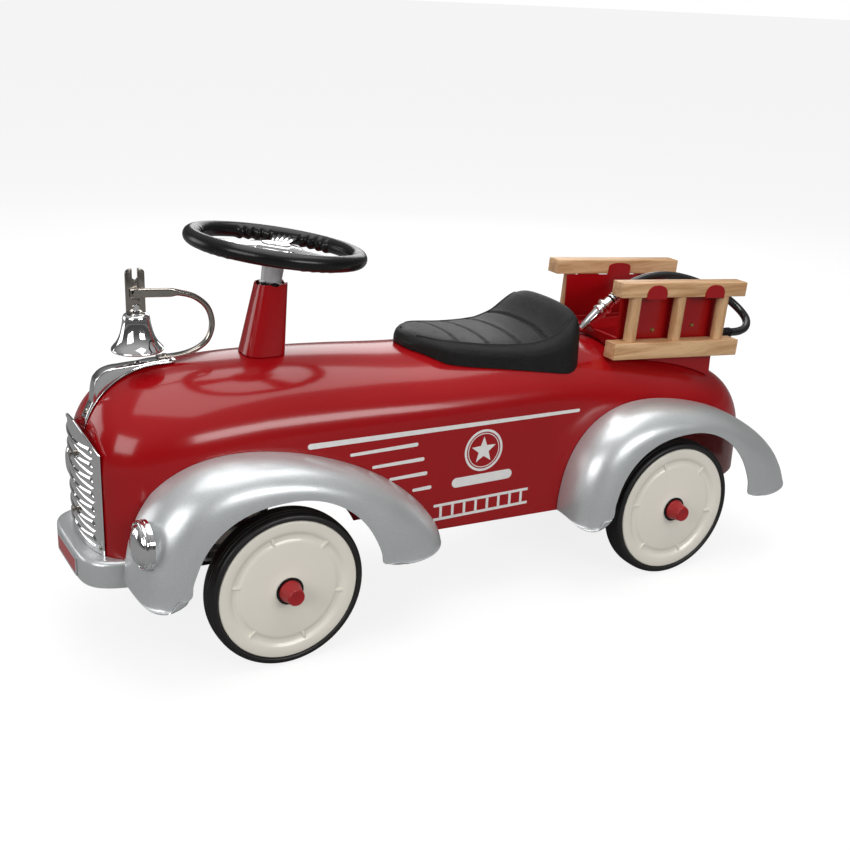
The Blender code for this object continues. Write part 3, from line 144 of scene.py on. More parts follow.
def power(value, exponent):
    """A power that keeps its value's sign."""
    return math.copysign(abs(value) ** exponent, value)


def spread(low, high, count):
    """count + 1 evenly spaced values from low to high."""
    return [low + (high - low) * i / count for i in range(count + 1)]


def arc(centre, radius, start, end, steps):
    """Points of a flat arc round a centre, from one angle to another."""
    angles = spread(start, end, steps)
    return [(centre[0] + radius * math.cos(a), centre[1] + radius * math.sin(a)) for a in angles]


def skin(bm, rows, flip=False, closed=False):
    """Quads between rows of points; closed joins each row's end to its start."""
    verts = [[bm.verts.new(point) for point in row] for row in rows]
    for first, second in zip(verts, verts[1:]):
        count = len(first)
        for i in range(count if closed else count - 1):
            j = (i + 1) % count
            face = (first[i], first[j], second[j], second[i])
            bm.faces.new(face[::-1] if flip else face)
    return verts


def loft(name, rings):
    """A closed solid through rings of points, capped at both ends."""
    def build(bm):
        verts = skin(bm, rings, closed=True)
        bm.faces.new(verts[0])
        bm.faces.new(verts[-1][::-1])
        bmesh.ops.recalc_face_normals(bm, faces=bm.faces)
    return mesh_from(name, build)


def ring_of(centre, across, along, half_across, half_along, count=32, exponent=2.0):
    """Points of a rounded section round a centre, on the two given directions."""
    points = []
    for i in range(count):
        angle = 2 * math.pi * i / count
        points.append(Vector(centre) + Vector(across) * half_across * power(math.cos(angle), 2 / exponent)
                      + Vector(along) * half_along * power(math.sin(angle), 2 / exponent))
    return points


def turned(name, profile, steps=96, matrix=None):
    """A turned piece from its (radius, height) profile, run down its outer side."""
    mesh = bpy.data.meshes.new(name)
    mesh.from_pydata([(r, 0, z) for r, z in profile], [(i, i + 1) for i in range(len(profile) - 1)], [])
    obj = bpy.data.objects.new(name, mesh)
    screw = obj.modifiers.new("turn", "SCREW")
    screw.steps = steps
    screw.render_steps = steps
    screw.use_merge_vertices = True
    screw.merge_threshold = 0.00001
    return solid(obj, matrix)


def solid(obj, matrix=None):
    """The piece with its modifiers applied, and moved by matrix."""
    name = obj.name
    put_in_scene(obj)
    bpy.context.view_layer.update()
    graph = bpy.context.evaluated_depsgraph_get()
    mesh = bpy.data.meshes.new_from_object(obj.evaluated_get(graph))
    bpy.data.objects.remove(obj, do_unlink=True)
    bm = bmesh.new()
    bm.from_mesh(mesh)
    bmesh.ops.remove_doubles(bm, verts=bm.verts, dist=0.000001)
    if matrix is not None:
        bmesh.ops.transform(bm, matrix=matrix, verts=bm.verts)
    bm.to_mesh(mesh)
    bm.free()
    mesh.name = name
    return bpy.data.objects.new(name, mesh)


def rod(name, start, end, radius, end_radius=None, sides=40):
    """A round bar or a cone from start to end."""
    start, end = Vector(start), Vector(end)

    def build(bm):
        bmesh.ops.create_cone(bm, cap_ends=True, segments=sides, radius1=radius,
                              radius2=radius if end_radius is None else end_radius,
                              depth=(end - start).length)
        turn = Vector((0, 0, 1)).rotation_difference(end - start).to_matrix().to_4x4()
        bmesh.ops.transform(bm, matrix=Matrix.Translation((start + end) / 2) @ turn, verts=bm.verts)
    return mesh_from(name, build)


def box(name, low, high):
    """A block between two opposite corners."""
    def build(bm):
        bmesh.ops.create_cube(bm, size=1)
        low_corner = Vector(low)
        size = Vector(high) - low_corner
        for vert in bm.verts:
            vert.co = low_corner + Vector((vert.co[i] + 0.5) * size[i] for i in range(3))
    return mesh_from(name, build)


def plate(name, outline, low_x, high_x):
    """A flat sheet across the car, from its (y, z) outline."""
    return loft(name, [[Vector((x, y, z)) for y, z in outline] for x in (low_x, high_x)])


def combine(obj, other, operation):
    """obj cut by, or joined to, another piece, which is used up."""
    put_in_scene(obj)
    put_in_scene(other)
    boolean = obj.modifiers.new("combine", "BOOLEAN")
    boolean.operation = operation
    boolean.object = other
    boolean.solver = "EXACT"
    made = solid(obj)
    bpy.data.objects.remove(other, do_unlink=True)
    return made


def cut(obj, other):
    return combine(obj, other, "DIFFERENCE")


def join(obj, other):
    return combine(obj, other, "UNION")


def merged(name, pieces):
    """Separate closed bodies as one piece."""
    bm = bmesh.new()
    for piece in pieces:
        bm.from_mesh(piece.data)
        bpy.data.objects.remove(piece, do_unlink=True)
    mesh = bpy.data.meshes.new(name)
    bm.to_mesh(mesh)
    bm.free()
    return bpy.data.objects.new(name, mesh)


def bevelled(obj, width, segments=3, angle=30):
    """The piece with its sharp edges rounded."""
    bevel = obj.modifiers.new("edges", "BEVEL")
    bevel.width = width
    bevel.segments = segments
    bevel.limit_method = "ANGLE"
    bevel.angle_limit = math.radians(angle)
    return solid(obj)


def thickened(obj, thickness):
    """The sheet with its thickness added behind its outer face."""
    sheet = obj.modifiers.new("sheet", "SOLIDIFY")
    sheet.thickness = thickness
    sheet.offset = -1
    return solid(obj)


def smooth_route(points, count):
    """Evenly spaced points along a smooth curve through the given points."""
    guides = [Vector(p) for p in points]
    guides = [2 * guides[0] - guides[1]] + guides + [2 * guides[-1] - guides[-2]]
    fine = []
    for a, b, c, d in zip(guides, guides[1:], guides[2:], guides[3:]):
        for i in range(24):
            t = i / 24
            fine.append(0.5 * (2 * b + (c - a) * t + (2 * a - 5 * b + 4 * c - d) * t * t
                               + (3 * b - a - 3 * c + d) * t ** 3))
    fine.append(guides[-2])
    lengths = [0.0]
    for a, b in zip(fine, fine[1:]):
        lengths.append(lengths[-1] + (b - a).length)
    route = []
    at = 0
    for i in range(count):
        want = lengths[-1] * i / (count - 1)
        while at < len(fine) - 2 and lengths[at + 1] < want:
            at += 1
        share = (want - lengths[at]) / (lengths[at + 1] - lengths[at])
        route.append(fine[at].lerp(fine[at + 1], min(share, 1)))
    return route, lengths[-1]


# Shader groups shared by the materials

def start_group(name, inputs, outputs):
    """A node group with float or vector inputs [(name, kind, value)] and outputs [(name, kind)]."""
    tree = bpy.data.node_groups.new(name, "ShaderNodeTree")
    for label, kind, value in inputs:
        socket = tree.interface.new_socket(name=label, in_out="INPUT", socket_type=kind)
        socket.default_value = value
    for label, kind in outputs:
        tree.interface.new_socket(name=label, in_out="OUTPUT", socket_type=kind)
    return tree, tree.nodes.new("NodeGroupInput"), tree.nodes.new("NodeGroupOutput")


FLOAT, VECTOR, COLOUR = "NodeSocketFloat", "NodeSocketVector", "NodeSocketColor"


def node(tree, kind, links=None, **values):
    """A new node, its settings from values and its inputs from links {input: socket or number}."""
    made = tree.nodes.new(kind)
    for key, value in values.items():
        setattr(made, key, value)
    for key, source in (links or {}).items():
        if isinstance(source, bpy.types.NodeSocket):
            tree.links.new(source, made.inputs[key])
        else:
            made.inputs[key].default_value = source
    return made


def noise_over(tree, place, scale, **values):
    """Noise over the object's own coordinates, from a coordinate node."""
    made = node(tree, "ShaderNodeTexNoise", {"Vector": place.outputs["Object"], "Scale": scale, **values})
    return made.outputs["Fac"]


def ranged(tree, value, low, high, out_low=0.0, out_high=1.0):
    """A value moved from one range to another, and held inside it."""
    made = node(tree, "ShaderNodeMapRange", {"Value": value, "From Min": low, "From Max": high,
                                             "To Min": out_low, "To Max": out_high})
    return made.outputs["Result"]


def mixed(tree, mask, first, second):
    """A colour between two colours by a mask."""
    made = node(tree, "ShaderNodeMix", {0: mask, 6: first, 7: second}, data_type="RGBA")
    return made.outputs[2]


def bumped(tree, height, strength, depth):
    """A normal from a height."""
    made = node(tree, "ShaderNodeBump", {"Height": height, "Strength": strength, "Distance": depth})
    return made.outputs["Normal"]


def ramped(tree, value, *stops):
    """A colour from a ramp through (position, colour) stops, the two end ones first."""
    made = node(tree, "ShaderNodeValToRGB", {"Fac": value})
    ramp = made.color_ramp
    for element, (position, colour) in zip(ramp.elements, stops):
        element.position = position
        element.color = (*colour, 1)
    for position, colour in stops[2:]:
        ramp.elements.new(position).color = (*colour, 1)
    return made.outputs["Color"]


def make_mottle_group():
    """Soft cloudy variation between two values, for uneven gloss and colour."""
    tree, given, out = start_group("mottle",
                                   [("Scale", FLOAT, 20.0), ("Low", FLOAT, 0.0), ("High", FLOAT, 1.0)],
                                   [("Value", FLOAT)])
    place = node(tree, "ShaderNodeTexCoord")
    clouds = noise_over(tree, place, given.outputs["Scale"], Detail=5.0, Roughness=0.6)
    value = ranged(tree, clouds, 0.3, 0.7, given.outputs["Low"], given.outputs["High"])
    tree.links.new(value, out.inputs["Value"])
    return tree


def make_relief_group():
    """Fine even relief, such as orange peel in paint or the bloom of rubber, as a normal."""
    tree, given, out = start_group("fine_relief", [("Scale", FLOAT, 400.0), ("Strength", FLOAT, 0.1),
                                                   ("Depth", FLOAT, 0.0001)], [("Normal", VECTOR)])
    place = node(tree, "ShaderNodeTexCoord")
    height = noise_over(tree, place, given.outputs["Scale"], Detail=3.0)
    normal = bumped(tree, height, given.outputs["Strength"], given.outputs["Depth"])
    tree.links.new(normal, out.inputs["Normal"])
    return tree


def make_dust_group():
    """Where dust lies: upward faces, in patches."""
    tree, given, out = start_group("dust", [("Scale", FLOAT, 60.0), ("Amount", FLOAT, 0.1)],
                                   [("Mask", FLOAT)])
    place = node(tree, "ShaderNodeTexCoord")
    clouds = noise_over(tree, place, given.outputs["Scale"], Detail=8.0, Roughness=0.7)
    facing = node(tree, "ShaderNodeSeparateXYZ", {"Vector": place.outputs["Normal"]})
    upward = ranged(tree, facing.outputs["Z"], -0.1, 1.0)
    patches = ranged(tree, clouds, 0.42, 0.72)
    both = node(tree, "ShaderNodeMath", {0: upward, 1: patches}, operation="MULTIPLY")
    amount = node(tree, "ShaderNodeMath", {0: both.outputs[0], 1: given.outputs["Amount"]},
                  operation="MULTIPLY")
    tree.links.new(amount.outputs[0], out.inputs["Mask"])
    return tree


def make_timber_group():
    """Straight-grained pale wood: colour, gloss and pore relief along the direction that Stretch squeezes."""
    tree, given, out = start_group("timber", [("Stretch", VECTOR, (60.0, 4.0, 60.0))],
                                   [("Color", COLOUR), ("Roughness", FLOAT), ("Normal", VECTOR)])
    place = node(tree, "ShaderNodeTexCoord")
    drawn = node(tree, "ShaderNodeVectorMath", {0: place.outputs["Object"], 1: given.outputs["Stretch"]},
                 operation="MULTIPLY")
    bands = node(tree, "ShaderNodeTexNoise", {"Vector": drawn.outputs[0], "Scale": 2.2, "Detail": 6.0,
                                              "Roughness": 0.62, "Distortion": 0.5})
    fibres = node(tree, "ShaderNodeTexNoise", {"Vector": drawn.outputs[0], "Scale": 22.0, "Detail": 4.0,
                                               "Roughness": 0.8})
    wood = ramped(tree, bands.outputs["Fac"], (0.36, (0.47, 0.235, 0.095)), (0.62, (0.74, 0.475, 0.255)))
    flecks = ranged(tree, fibres.outputs["Fac"], 0.30, 0.52, 0.35, 0.0)
    colour = mixed(tree, flecks, wood, (0.33, 0.155, 0.06, 1))
    gloss = ranged(tree, fibres.outputs["Fac"], 0.0, 1.0, 0.55, 0.38)
    normal = bumped(tree, fibres.outputs["Fac"], 0.25, 0.0002)
    for label, source in (("Color", colour), ("Roughness", gloss), ("Normal", normal)):
        tree.links.new(source, out.inputs[label])
    return tree


MOTTLE = make_mottle_group()
RELIEF = make_relief_group()
DUST = make_dust_group()
TIMBER = make_timber_group()


# Materials

def start_material(name, **constants):
    """A material with its shader's constant values set; keys are the shader's input names in lower case."""
    made = bpy.data.materials.new(name)
    made.use_nodes = True
    shader = made.node_tree.nodes["Principled BSDF"]
    for key, value in constants.items():
        label = key.replace("_", " ").title().replace("Ior", "IOR")
        shader.inputs[label].default_value = value
    return made, made.node_tree, shader


def use(tree, group, **values):
    """A shared shader group in a material, with its values set."""
    made = tree.nodes.new("ShaderNodeGroup")
    made.node_tree = group
    for key, value in values.items():
        made.inputs[key.title()].default_value = value
    return made


def two_tone(tree, shader, mask, first, second):
    """Base colour between two colours by a mask; gives that colour."""
    colour = mixed(tree, mask, (*first, 1), (*second, 1))
    tree.links.new(colour, shader.inputs["Base Color"])
    return colour


def add_dust(tree, shader, colour, dust_colour, scale, amount):
    """Lays dust over a base colour."""
    dust = use(tree, DUST, scale=scale, amount=amount)
    dusty = mixed(tree, dust.outputs["Mask"], colour, (*dust_colour, 1))
    tree.links.new(dusty, shader.inputs["Base Color"])


def add_gloss(tree, shader, scale, low, high):
    """Uneven gloss between two roughness values."""
    shine = use(tree, MOTTLE, scale=scale, low=low, high=high)
    tree.links.new(shine.outputs["Value"], shader.inputs["Roughness"])


def add_relief(tree, shader, scale, strength, depth):
    """Fine relief over the whole surface."""
    peel = use(tree, RELIEF, scale=scale, strength=strength, depth=depth)
    tree.links.new(peel.outputs["Normal"], shader.inputs["Normal"])


def surface_material(name, first, second, mottle_scale, gloss, relief, dust=None, **constants):
    """Two close colours in soft clouds, uneven gloss and a fine relief: the base of most finishes here."""
    made, tree, shader = start_material(name, **constants)
    clouds = use(tree, MOTTLE, scale=mottle_scale)
    colour = two_tone(tree, shader, clouds.outputs["Value"], first, second)
    if dust:
        add_dust(tree, shader, colour, *dust)
    add_gloss(tree, shader, *gloss)
    add_relief(tree, shader, *relief)
    return made


def make_silver_paint():
    """Aluminium-flake paint under a clear coat."""
    made, tree, shader = start_material("silver_paint", metallic=0.55, coat_weight=0.35, coat_roughness=0.12)
    place = node(tree, "ShaderNodeTexCoord")
    flakes = node(tree, "ShaderNodeTexVoronoi", {"Vector": place.outputs["Object"], "Scale": 2600.0})
    bright = node(tree, "ShaderNodeSeparateColor", {"Color": flakes.outputs["Color"]})
    two_tone(tree, shader, bright.outputs["Red"], (0.56, 0.58, 0.585), (0.68, 0.70, 0.705))
    add_gloss(tree, shader, 35.0, 0.30, 0.38)
    add_relief(tree, shader, 260.0, 0.05, 0.0002)
    return made


def make_leather_grain():
    """Moulded black skin with a pebbled leather grain, its crowns painted slightly greyer than the hollows as
    a painted sheen highlight.
    """
    made, tree, shader = start_material("seat_skin", specular_ior_level=0.22)
    place = node(tree, "ShaderNodeTexCoord")
    warp = node(tree, "ShaderNodeTexNoise", {"Vector": place.outputs["Object"], "Scale": 260.0,
                                             "Detail": 2.0})
    bent = node(tree, "ShaderNodeMix", {0: 0.0025, 4: place.outputs["Object"], 5: warp.outputs["Color"]},
                data_type="VECTOR")
    pebbles = node(tree, "ShaderNodeTexVoronoi", {"Vector": bent.outputs[1], "Scale": 620.0},
                   feature="DISTANCE_TO_EDGE")
    height = ranged(tree, pebbles.outputs["Distance"], 0.0, 0.22)
    tree.links.new(bumped(tree, height, 0.55, 0.0003), shader.inputs["Normal"])
    # painted sheen: the pebble crowns are painted greyer than the hollows between them, as a highlight
    two_tone(tree, shader, height, (0.003, 0.003, 0.003), (0.009, 0.009, 0.0095))
    add_gloss(tree, shader, 18.0, 0.36, 0.46)
    return made


def make_timber(name, stretch):
    """Beech with its grain along one axis, under a thin varnish."""
    made, tree, shader = start_material(name, coat_weight=0.15, coat_roughness=0.3)
    grain = use(tree, TIMBER, stretch=stretch)
    for label, socket in (("Color", "Base Color"), ("Roughness", "Roughness"), ("Normal", "Normal")):
        tree.links.new(grain.outputs[label], shader.inputs[socket])
    return made


PALE_DUST = (0.55, 0.52, 0.47)
RED_PAINT = surface_material("red_paint", (0.330, 0.0030, 0.0055), (0.350, 0.0036, 0.0062), 9.0,
                             (12.0, 0.17, 0.19), (240.0, 0.015, 0.0001),
                             specular_ior_level=0.35, coat_weight=0.2, coat_roughness=0.06)
SILVER_PAINT = make_silver_paint()
CHROME = surface_material("chrome", (0.80, 0.80, 0.81), (0.88, 0.88, 0.88), 25.0,
                          (40.0, 0.035, 0.085), (120.0, 0.03, 0.0002), metallic=1.0)
NICKEL = surface_material("nickel_plate", (0.34, 0.31, 0.28), (0.42, 0.39, 0.35), 60.0,
                          (80.0, 0.12, 0.20), (300.0, 0.05, 0.0002), metallic=1.0)
ZINC = surface_material("zinc_steel", (0.36, 0.36, 0.38), (0.52, 0.52, 0.51), 90.0,
                        (120.0, 0.30, 0.50), (800.0, 0.15, 0.0001), metallic=1.0)
BRASS = surface_material("brass_screw", (0.55, 0.38, 0.12), (0.66, 0.48, 0.18), 200.0,
                         (300.0, 0.2, 0.35), (900.0, 0.1, 0.0001), metallic=1.0)
CREAM = surface_material("cream_enamel", (0.90, 0.855, 0.755), (0.92, 0.875, 0.78), 14.0,
                         (40.0, 0.22, 0.26), (150.0, 0.015, 0.0002), (PALE_DUST, 70.0, 0.008),
                         coat_weight=0.3, coat_roughness=0.1)
TYRE_RUBBER = surface_material("tyre_rubber", (0.006, 0.005, 0.005), (0.012, 0.011, 0.011), 50.0,
                               (90.0, 0.34, 0.48), (1500.0, 0.20, 0.0001), (PALE_DUST, 120.0, 0.015))
CAP_RUBBER = surface_material("cap_rubber", (0.33, 0.006, 0.010), (0.42, 0.012, 0.016), 60.0,
                              (90.0, 0.34, 0.48), (700.0, 0.15, 0.0001))
BLACK_PLASTIC = surface_material("black_plastic", (0.004, 0.004, 0.004), (0.007, 0.007, 0.0075), 40.0,
                                 (60.0, 0.20, 0.30), (900.0, 0.08, 0.0001), specular_ior_level=0.35)
GREY_PLASTIC = surface_material("grey_plastic", (0.50, 0.50, 0.51), (0.58, 0.58, 0.59), 60.0,
                                (80.0, 0.30, 0.42), (900.0, 0.1, 0.0001), metallic=0.2)
HOSE_RUBBER = surface_material("hose_rubber", (0.007, 0.007, 0.008), (0.016, 0.016, 0.017), 80.0,
                               (60.0, 0.10, 0.22), (500.0, 0.08, 0.0001),
                               coat_weight=0.4, coat_roughness=0.08)
PLATE_RED = surface_material("plate_red", (0.42, 0.014, 0.018), (0.50, 0.022, 0.026), 80.0,
                             (90.0, 0.30, 0.40), (500.0, 0.06, 0.0001), coat_weight=0.3)
PRINT_WHITE = surface_material("print_white", (0.78, 0.77, 0.75), (0.86, 0.85, 0.83), 120.0,
                               (200.0, 0.28, 0.40), (900.0, 0.08, 0.0001))
SEAT_SKIN = make_leather_grain()
RAIL_WOOD = make_timber("beech_rail", (55.0, 3.6, 55.0))
RUNG_WOOD = make_timber("beech_rung", (60.0, 60.0, 5.0))


# Hose, laid over the carrier: it repeats the route of its CAD solid

HOSE_RADIUS = 0.0045
HOSE_ROUTE = ((0.000, 0.4250, 0.2720), (0.000, 0.4420, 0.2850), (0.000, 0.4680, 0.2935),
              (0.001, 0.4980, 0.2945), (0.002, 0.5280, 0.2885), (0.005, 0.5560, 0.2780),
              (0.010, 0.5800, 0.2650), (0.017, 0.5950, 0.2525), (0.026, 0.6000, 0.2420),
              (0.033, 0.5940, 0.2350), (0.0360, 0.5820, 0.2320), (0.0360, 0.5690, 0.2320))
NOZZLE_TIP = (0.0, 0.3880, 0.2445)
NOZZLE_TIP_RADIUS = 0.0034
NOZZLE_FLARE = 0.0036
NOZZLE_COLLAR_REACH = 0.0235
SPRING_TURNS = 5
SPRING_PITCH = 0.0031
SPRING_WIRE = 0.0011
SOCKET_RIBS = 6
SOCKET_PITCH = 0.0038


def make_hose():
    """Rubber hose on its route, with its nozzle, spring and socket."""
    route, length = smooth_route(HOSE_ROUTE, 78)
    curve = bpy.data.curves.new("rubber_hose", "CURVE")
    curve.dimensions = "3D"
    curve.bevel_depth = HOSE_RADIUS
    curve.bevel_resolution = 6
    curve.use_fill_caps = True
    spline = curve.splines.new("POLY")
    spline.points.add(len(route) - 1)
    for point, at in zip(spline.points, reversed(route)):
        point.co = (*at, 1)
    spline.use_smooth = True
    hose = keep(bpy.data.objects.new("rubber_hose", curve), HOSE_RUBBER, "chassis", ("hose",))
    tip = Vector(NOZZLE_TIP) - route[0]
    turn = Matrix.Translation(route[0]) @ tip.normalized().to_track_quat("Z", "X").to_matrix().to_4x4()
    nozzle = make_nozzle(turn, tip.length)
    spring = make_spring(turn)
    socket = make_socket()


def make_nozzle(turn, reach):
    """Tapered nozzle with two beads on its collar, from the hose's end to its tip."""
    taper_end = reach - 0.004
    profile = [(0.0, reach), (0.0020, reach), (0.0028, reach - 0.0006), (NOZZLE_TIP_RADIUS, taper_end)]
    profile += [(NOZZLE_TIP_RADIUS + NOZZLE_FLARE * (i / 10) ** 0.8,
                 taper_end - (reach - NOZZLE_COLLAR_REACH) * i / 10) for i in range(11)]
    profile += [(0.0072, 0.0188), (0.0084, 0.0182), (0.0088, 0.0172), (0.0084, 0.0160), (0.0070, 0.0154),
                (0.0068, 0.0132), (0.0072, 0.0124), (0.0088, 0.0118), (0.0095, 0.0100), (0.0091, 0.0080),
                (0.0074, 0.0072), (0.0064, 0.0068), (0.0062, gap), (0.0, gap)]
    return keep(turned("nozzle", profile, 64, turn), CHROME, "chassis", ("hose_nozzle",))


def make_spring(turn):
    """Coil spring over the hose's end, as one closed ring for each turn."""
    coils = []
    for i in range(SPRING_TURNS):
        lower = -SPRING_PITCH * (SPRING_TURNS - i)
        ring = [(HOSE_RADIUS + 0.0003 + SPRING_WIRE * (1 + math.cos(a)), lower - 0.0012 * math.sin(a))
                for a in spread(0, 2 * math.pi, 12)]
        coils.append(turned(f"spring_turn_{i}", ring, 40, turn))
    return keep(merged("hose_spring", coils), CHROME, "chassis")


def make_socket():
    """Ribbed socket on the carrier's rear, where the hose ends."""
    x, y, z = HOSE_ROUTE[-1]
    wall = PANEL_REAR_Y + gap
    depth = y - gap * 3 - wall
    turn = Matrix.Translation((x, wall, z)) @ Matrix.Rotation(-math.pi / 2, 4, "X")
    profile = [(0.0, depth), (0.0050, depth), (0.0056, depth - 0.0008)]
    for i in range(SOCKET_RIBS):
        low = depth - 0.006 - SOCKET_PITCH * i
        profile += [(0.0058, low + 0.0030), (0.0058, low + 0.0014), (0.0052, low + 0.0010), (0.0052, low)]
    profile += [(0.0062, 0.0050), (0.0066, 0.0040), (0.0066, 0.0), (0.0, 0.0)]
    return keep(turned("hose_socket", profile, 48, turn), BLACK_PLASTIC, "chassis", ("hose_fitting",))


# Body shell

BODY_HALF_WIDTH = 0.083
NOSE_Y = -0.1500
NOSE_POWER = 3.5
TAIL_START_Y = 0.450
TAIL_Y = 0.606
TAIL_POWER = 2.3
CROWN_POWER = 2.15
SPINE_FRONT_Y = -0.075
SPINE_REAR_Y = 0.570
SHEET = 0.0010
RIDGE = ((-0.09, 0.2600), (0.0, 0.2605), (0.05, 0.2590), (0.10, 0.2560), (0.17, 0.2505), (0.25, 0.2475),
         (0.32, 0.2445), (0.378, 0.2390), (0.45, 0.2240), (0.50, 0.2065), (0.53, 0.1930), (0.55, 0.1815),
         (0.57, 0.1670))
SHOULDER = ((-0.15, 0.178), (0.0, 0.195), (0.30, 0.195), (0.45, 0.160), (0.61, 0.105))
BOTTOM_EDGE = ((-0.15, 0.0952), (0.61, 0.0716))
ARCH_RADIUS = 0.090
ARCH_CENTRE_Z = 0.072
ARCH_CUT_REACH = 0.15
ARCH_REAR_CUT = ((0.040, 0.02), (0.106, 0.112))
COLUMN_LEAN = math.radians(8.5)
STEERING_Y, STEERING_Z = joint_at["steering_turn"][1] - car_y, joint_at["steering_turn"][2]
COLUMN_AXIS = Vector((0, math.sin(COLUMN_LEAN), math.cos(COLUMN_LEAN)))


def body_half_width(y):
    """Half the body's width at a place along it."""
    if y < 0:
        return BODY_HALF_WIDTH * max(0.0, 1 - min(1, y / NOSE_Y) ** NOSE_POWER) ** (1 / NOSE_POWER)
    if y > TAIL_START_Y:
        share = min(1, (y - TAIL_START_Y) / (TAIL_Y - TAIL_START_Y))
        return BODY_HALF_WIDTH * (1 - share ** TAIL_POWER) ** (1 / TAIL_POWER)
    return BODY_HALF_WIDTH


def tail_station(share):
    """(x, y, spine y) of the plan outline at a share of the way round the tail."""
    angle = math.pi / 2 * share
    x = 0.0 if share == 1 else BODY_HALF_WIDTH * math.cos(angle) ** (2 / TAIL_POWER)
    y = TAIL_START_Y + (TAIL_Y - TAIL_START_Y) * math.sin(angle) ** (2 / TAIL_POWER)
    return x, y, TAIL_START_Y + (SPINE_REAR_Y - TAIL_START_Y) * share


def body_top(x, y):
    """Height of the body's outer surface behind its nose."""
    edge_x, edge_y, spine = BODY_HALF_WIDTH, y, y
    if y > TAIL_START_Y:
        low, high = 0.0, 1.0
        for _ in range(40):
            share = (low + high) / 2
            edge_x, edge_y, spine = tail_station(share)
            reached = spine + (edge_y - spine) * min(1, abs(x) / max(edge_x, 0.0001))
            low, high = (share, high) if reached < y else (low, share)
    across = min(1, abs(x) / max(edge_x, 0.0001))
    shoulder = between(SHOULDER, edge_y)
    return shoulder + (between(RIDGE, spine) - shoulder) * (1 - across ** CROWN_POWER) ** (1 / CROWN_POWER)


def column_point(height):
    """The point on the steering column's axis at a height above the ground."""
    return Vector((0, STEERING_Y + (height - STEERING_Z) * math.tan(COLUMN_LEAN), height))


def body_stations():
    """(x, y, spine y) round half of the body's plan, from the nose's middle to the tail's."""
    nose_steps, side_steps, tail_steps = 26, 40, 26
    stations = []
    for i in range(nose_steps):
        angle = math.pi / 2 * i / nose_steps
        stations.append((BODY_HALF_WIDTH * math.sin(angle) ** (2 / NOSE_POWER),
                         NOSE_Y * math.cos(angle) ** (2 / NOSE_POWER),
                         SPINE_FRONT_Y * (1 - i / nose_steps)))
    stations += [(BODY_HALF_WIDTH, y, y) for y in spread(0, TAIL_START_Y, side_steps)[:-1]]
    return stations + [tail_station(share) for share in spread(0, 1, tail_steps)]


def make_body():
    """Pressed shell, open below, cut for the front wheels, the column and the rear axle."""
    side_rows, crown_rows = 6, 26

    def build(bm):
        rows = []
        for x, y, spine in body_stations():
            shoulder, low = between(SHOULDER, y), between(BOTTOM_EDGE, y)
            row = [Vector((x, y, z)) for z in spread(low, shoulder, side_rows)[:-1]]
            for i, angle in enumerate(spread(0, math.pi / 2, crown_rows)):
                out = 0.0 if i == crown_rows else math.cos(angle) ** (2 / CROWN_POWER)
                rise = math.sin(angle) ** (2 / CROWN_POWER)
                row.append(Vector((x * out, spine + (y - spine) * out,
                                   shoulder + (between(RIDGE, spine) - shoulder) * rise)))
            rows.append(row)
        skin(bm, rows, flip=True)
    body = mesh_from("body", build)
    mirror = body.modifiers.new("both_sides", "MIRROR")
    mirror.use_clip = True
    mirror.merge_threshold = 0.0001
    body = thickened(body, SHEET)
    past = ARCH_CUT_REACH
    body = cut(body, rod("arch", (-past, 0, ARCH_CENTRE_Z), (past, 0, ARCH_CENTRE_Z), ARCH_RADIUS, sides=128))
    (front_y, low_z), (rear_y, high_z) = ARCH_REAR_CUT
    body = cut(body, box("arch_rear", (-past, front_y, low_z), (past, rear_y, high_z)))
    body = cut(body, rod("column_hole", column_point(0.20), column_point(0.30), 0.009))
    body = cut(body, rod("axle_notch", (-0.1, wheelbase, axle_z), (0.1, wheelbase, axle_z), 0.0055))
    keep(body, RED_PAINT, "chassis", ("body_shell",), sharp=35)


# Prints on both sides of the body

PRINT_THICKNESS = 0.00012
STRIPE = ((0.0360, 0.1925, 0.0027), (0.3315, 0.1871, 0.0017))
BARS = ((0.0771, 0.1451, 0.1781), (0.1002, 0.1523, 0.1623), (0.1185, 0.1562, 0.1472),
        (0.1438, 0.1613, 0.1318))
ROUNDEL_CENTRE = (0.2205, 0.1610)
ROUNDEL_RADIUS = 0.0215
STAR_RADIUS = 0.0142
STAR_INNER_SHARE = 0.42
LABEL = (0.1850, 0.2560, 0.1245, 0.1385)
LADDER_MARK = (0.1668, 0.2758, 0.0965, 0.1110)


def print_sheet(side, outline):
    """A thin printed patch on one side of the body, from its (y, z) outline."""
    face = BODY_HALF_WIDTH + 0.00004
    return plate("patch", outline, side * face, side * (face + PRINT_THICKNESS))


def bar_outline(first, last):
    """A rounded bar from (y, z, half height) to (y, z, half height)."""
    points = []
    for (y, z, half), start in ((last, -math.pi / 2), (first, math.pi / 2)):
        points += arc((y, z), half, start, start + math.pi, 8)
    return points


def ring_patches(side, radius, width):
    """A flat ring round the roundel's centre, as one closed patch for each sector."""
    patches = []
    sectors, steps = 8, 12
    angles = spread(0.0, 2 * math.pi, sectors)
    for first, last in zip(angles, angles[1:]):
        outer = arc(ROUNDEL_CENTRE, radius, first, last, steps)
        inner = arc(ROUNDEL_CENTRE, radius - width, last, first, steps)
        patches.append(print_sheet(side, outer + inner))
    return patches


def star_outline(centre, radius, points=5):
    """A star with its inner corners at a share of its radius."""
    outline = []
    for i in range(points * 2):
        reach = radius if i % 2 == 0 else radius * STAR_INNER_SHARE
        outline += arc(centre, reach, math.pi / 2 + math.pi * i / points, 0, 1)[:1]
    return outline


def print_box(side, low_y, high_y, low_z, high_z):
    """A rectangular printed patch."""
    return print_sheet(side, [(low_y, low_z), (high_y, low_z), (high_y, high_z), (low_y, high_z)])


